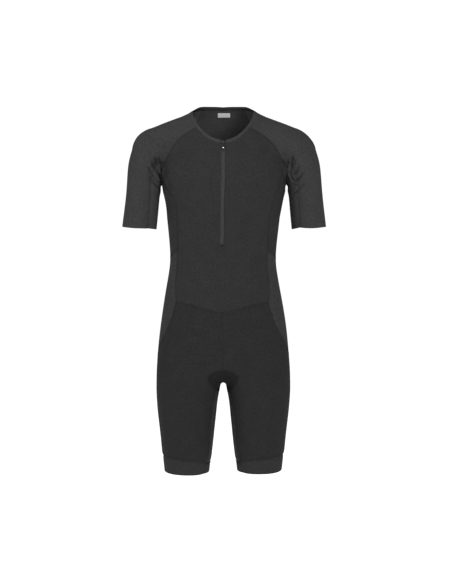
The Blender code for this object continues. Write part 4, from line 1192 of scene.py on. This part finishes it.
def build_zip(binding):
    """The chain of coils, its tapes, the garage over its top, and the neck's label."""
    tape = fabric("zip_tape", wales=0.9, courses=0.9, bump=0.1, weave="course")
    coil = fabric("zip_coil", wales=1.0, courses=1.4, bump=0.2, weave="course", roughness=0.6)
    satin = fabric("label", wales=0.4, courses=0.5, bump=0.03, mottle=0.03, roughness=0.5,
                   lining=0.0)
    heights = np.linspace(ZIP_TOP, ZIP_END, round((ZIP_TOP - ZIP_END) / CHAIN_STEP) + 1)
    rows = []
    for across, rise in CHAIN_PROFILE:
        base = on_face(np.full(len(heights), ZIP_CENTRE + across), heights, -1.0)
        ribs = COIL_RISE * np.sin(heights * 2.0 * math.pi / COIL_PITCH)
        ribs = ribs * (COIL_INNER < abs(across) < COIL_OUTER)
        rows.append(base + normals(base) * (rise + ribs)[:, None])
    grid = np.stack(rows, 1)
    count, wide = grid.shape[:2]
    index = np.arange(count * wide).reshape(count, wide)
    around = np.roll(index, -1, axis=1)
    faces = np.stack([index[:-1], around[:-1], around[1:], index[1:]], -1).reshape(-1, 4).tolist()
    faces += [tuple(index[0][::-1]), tuple(index[-1])]
    flat = np.stack(np.broadcast_arrays([p[0] for p in CHAIN_PROFILE], heights[:, None]), -1)
    chain = add_piece("zip_chain", swayed(grid.reshape(-1, 3)), faces, coil, flat.reshape(-1, 2),
                      sharp=60)
    show(chain, "zip_chain")
    for name, side in (("zip_tape_left", 1.0), ("zip_tape_right", -1.0)):
        inner = ZIP_CENTRE + side * (CHAIN_HALF + TAPE_GAP)
        outer = ZIP_CENTRE + side * TAPE_REACH
        outline = [(inner, ZIP_TOP), (outer, ZIP_TOP), (outer, ZIP_END), (inner, ZIP_END)]
        show(cloth_piece(name, patch(outline, -1.0), tape, TAPE_THICK, TAPE_RISE, TAPE_ROUND),
             name)
    show(cloth_piece("zip_garage", patch(GARAGE, -1.0, GARAGE_CELL), binding, GARAGE_THICK,
                     GARAGE_RISE, GARAGE_ROUND), "zip_garage")
    right, left, top, low = LABEL_RIGHT, LABEL_LEFT, LABEL_TOP, LABEL_LOW
    cut = LABEL_CORNER
    outline = [(right, low + cut), (right + cut, low), (left - cut, low), (left, low + cut),
               (left, top - cut), (left - cut, top), (right + cut, top), (right, top - cut)]
    show(cloth_piece("neck_label", patch(outline, 1.0, LABEL_CELL), satin, LABEL_THICK,
                     LABEL_RISE, LABEL_ROUND), "neck_label")


def slider_frame(lean=0.0):
    """Axes at the pull tab's pin: X across, Y down along the zip, Z into the cloth."""
    top, low = on_face(np.array([ZIP_CENTRE] * 2), np.array([SLIDER_TOP, SLIDER_TOP - 20.0]), -1.0)
    down = Vector(low - top).normalized()
    across = Vector((1.0, 0.0, 0.0))
    out = down.cross(across).normalized()
    down = out.cross(across) * -1.0
    place = Vector(top) + down * SLIDER_LONG / 2.0 + out * PIN_HEIGHT
    turn = Matrix((across, down, -out)).transposed().to_4x4()
    return Matrix.Translation(place * MM) @ turn @ Matrix.Rotation(lean, 4, "X")


def extruded(outline, low, high):
    """Points and faces of a block with this outline, in the slider's frame."""
    count = len(outline)
    points = [(x, y, low) for x, y in outline] + [(x, y, high) for x, y in outline]
    faces = [tuple(range(count))[::-1], tuple(range(count, 2 * count))]
    for i in range(count):
        j = (i + 1) % count
        faces.append((i, j, j + count, i + count))
    return points, faces


def oval(wide, long, centre, power, steps=28):
    """A rounded outline; the higher its power, the squarer it is."""
    outline = []
    for i in range(steps):
        turn = 2.0 * math.pi * i / steps
        c, s = math.cos(turn), math.sin(turn)
        outline.append((math.copysign(abs(c) ** (2.0 / power), c) * wide / 2.0,
                        centre + math.copysign(abs(s) ** (2.0 / power), s) * long / 2.0))
    return outline


def hardware(name, blocks, frame, material, bevel):
    """A metal piece from blocks in the slider's frame, with rounded edges."""
    points, faces = [], []
    for block_points, block_faces in blocks:
        faces += [tuple(v + len(points) for v in face) for face in block_faces]
        points += block_points
    item = add_piece(name, np.array(points), faces, material, sharp=35.0)
    item.data.transform(frame)
    rounding = item.modifiers.new("Bevel", "BEVEL")
    rounding.width = bevel * MM
    rounding.segments = 2
    rounding.limit_method = "ANGLE"
    rounding.angle_limit = math.radians(40.0)
    rounding.harden_normals = False
    return item


def build_slider():
    """The slider with its bridge, and the pull tab on its pin."""
    black = metal("slider_metal", 0.85, 0.22, 0.16, 1.5)
    cloth_face = PIN_HEIGHT - SLIDER_CLEAR
    plate = [(x * (1.0 - SLIDER_TAPER * (y / SLIDER_LONG + 0.5)), y)
             for x, y in oval(SLIDER_WIDE, SLIDER_LONG, 0.0, SLIDER_SQUARE, 36)]
    blocks = [extruded(plate, cloth_face - SLIDER_THICK, cloth_face)]
    top = cloth_face - SLIDER_THICK - BRIDGE_TALL
    long, eye = BRIDGE_LONG / 2.0, EYE_LONG / 2.0
    foot, bar = top + BRIDGE_TALL + 0.5, top + BRIDGE_BAR
    arch = [(-long, foot), (-long, top + 1.2), (-long + 0.9, top + 0.2), (-long + 1.8, top),
            (long - 1.8, top), (long - 0.9, top + 0.2), (long, top + 1.2), (long, foot),
            (eye, foot), (eye, bar + 0.5), (eye - 0.6, bar), (-eye + 0.6, bar),
            (-eye, bar + 0.5), (-eye, foot)]
    points, faces = extruded(arch, -BRIDGE_WIDE / 2.0, BRIDGE_WIDE / 2.0)
    blocks.append(([(z, y, x) for y, x, z in points], [face[::-1] for face in faces]))
    slider = hardware("zip_slider", blocks, slider_frame(), black, SLIDER_BEVEL)
    show(slider, "zip_slider")

    half, arm_in, foot = TAB_WIDE / 2.0, TAB_WINDOW_WIDE / 2.0, TAB_LONG
    window, corner, waist = TAB_WINDOW_REACH, TAB_WINDOW_CORNER, half - TAB_WAIST
    fork = [(-half + 0.5, -TAB_END), (-arm_in, -TAB_END), (-arm_in, window - corner),
            (-arm_in + corner, window), (arm_in - corner, window), (arm_in, window - corner),
            (arm_in, -TAB_END), (half - 0.5, -TAB_END), (half, -TAB_END + 0.5), (half, 4.8),
            (waist, 6.6), (waist, 8.2), (half, 10.0), (half, foot - 1.6),
            (half - 0.6, foot - 0.5), (half - 1.6, foot), (-half + 1.6, foot),
            (-half + 0.6, foot - 0.5), (-half, foot - 1.6), (-half, 10.0), (-waist, 8.2),
            (-waist, 6.6), (-half, 4.8), (-half, -TAB_END + 0.5)]
    blocks = [extruded(fork, -TAB_THICK / 2.0, TAB_THICK / 2.0)]
    ring = oval(PIN_RADIUS * 2.0, PIN_RADIUS * 2.0, 0.0, 2.0, 16)
    points, faces = extruded(ring, -arm_in - 0.5, arm_in + 0.5)
    blocks.append(([(z, y, x) for x, y, z in points], [face[::-1] for face in faces]))
    tab = hardware("pull_tab", blocks, slider_frame(TAB_LEAN), black, TAB_BEVEL)
    show(tab, "pull_tab")


def build_stud():
    """The small polished dome on the pull tab."""
    polished = metal("polished_stud", 1.0, 0.3, 0.1, 1.0)
    sides, face = STUD_SIDES, -TAB_THICK / 2.0
    points, faces = [(0.0, STUD_DOWN, face - STUD_TALL)], []
    for share, rise in STUD_RINGS[::-1]:
        points += [(x * share, STUD_DOWN + y * share, face + STUD_SUNK - STUD_TALL * rise)
                   for x, y in oval(STUD_WIDE, STUD_WIDE, 0.0, 2.0, sides)]
    for j in range(sides):
        k = (j + 1) % sides
        faces.append((0, 1 + j, 1 + k))
        for low in range(1, 1 + (len(STUD_RINGS) - 1) * sides, sides):
            high = low + sides
            faces.append((low + j, high + j, high + k, low + k))
    faces.append(tuple(range(len(points) - sides, len(points)))[::-1])
    stud = add_piece("tab_stud", np.array(points), faces, polished, sharp=40.0)
    stud.data.transform(slider_frame(TAB_LEAN))
    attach(stud, "pull_tab")


def build_stage():
    """The white floor and backdrop, the lamps and the camera."""
    material, _, shader = principled("studio_floor")
    shader.inputs["Base Color"].default_value = (0.85, 0.85, 0.85, 1.0)
    shader.inputs["Emission Color"].default_value = WHITE
    shader.inputs["Emission Strength"].default_value = FLOOR_GLOW
    shader.inputs["Roughness"].default_value = 1.0
    shader.inputs["Specular IOR Level"].default_value = 0.0
    bpy.ops.mesh.primitive_circle_add(vertices=96, radius=FLOOR_RADIUS, fill_type="NGON",
                                      location=(0.0, 0.0, FLOOR))
    floor = bpy.context.object
    floor.name = "studio_floor"
    floor.data.materials.append(material)
    scene = bpy.context.scene
    world = bpy.data.worlds.new("studio")
    world.use_nodes = True
    tree = world.node_tree
    room = tree.nodes["Background"]
    backdrop = tree.nodes.new("ShaderNodeBackground")
    for node, strength in ((room, WORLD_LIGHT), (backdrop, BACKDROP_LIGHT)):
        node.inputs["Color"].default_value = WHITE
        node.inputs["Strength"].default_value = strength
    seen = tree.nodes.new("ShaderNodeMixShader")
    rays = tree.nodes.new("ShaderNodeLightPath")
    tree.links.new(rays.outputs["Is Camera Ray"], seen.inputs["Fac"])
    tree.links.new(room.outputs[0], seen.inputs[1])
    tree.links.new(backdrop.outputs[0], seen.inputs[2])
    tree.links.new(seen.outputs[0], tree.nodes["World Output"].inputs["Surface"])
    scene.world = world
    for name, place, aim, size, power in LIGHTS:
        lamp = bpy.data.lights.new(name, "AREA")
        lamp.shape = "DISK"
        lamp.size = size
        lamp.energy = power
        item = bpy.data.objects.new(name, lamp)
        item.location = place
        item.rotation_euler = (Vector(aim) - Vector(place)).to_track_quat("-Z", "Y").to_euler()
        scene.collection.objects.link(item)
    lens = bpy.data.cameras.new("camera")
    lens.lens = CAMERA_LENS
    lens.sensor_width = 36.0
    camera = bpy.data.objects.new("camera", lens)
    camera.location = CAMERA_PLACE
    camera.rotation_euler = (math.radians(90.0 - CAMERA_TILT), 0.0, 0.0)
    scene.collection.objects.link(camera)
    scene.camera = camera
    scene.view_settings.view_transform = "Standard"


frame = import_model()
seams = make_seams()
free_points = {tuple(point) for name in FREE_SEAMS for point in seams[name]}
furrow_lines = [(furrow, drawn(furrow.marks, np.linspace(0.0, 1.0, 9))) for furrow in FURROWS]
cuff = join(seams, "cuff_outer -cuff_inner")[::3]
cuff_lines = [cuff, cuff * (-1.0, 1.0, 1.0)]
random = np.random.default_rng(12)
waves = []
for _ in range(WAVES):
    way = random.normal(size=3) * (1.0, 1.0, 0.7)
    way *= 2.0 * math.pi / random.uniform(70.0, 150.0) / np.linalg.norm(way)
    waves.append((way, random.uniform(0.0, 2.0 * math.pi), random.uniform(0.2, 0.6)))
binding_cloth = build_cloth()
build_stitching()
build_zip(binding_cloth)
build_slider()
build_stud()
build_stage()
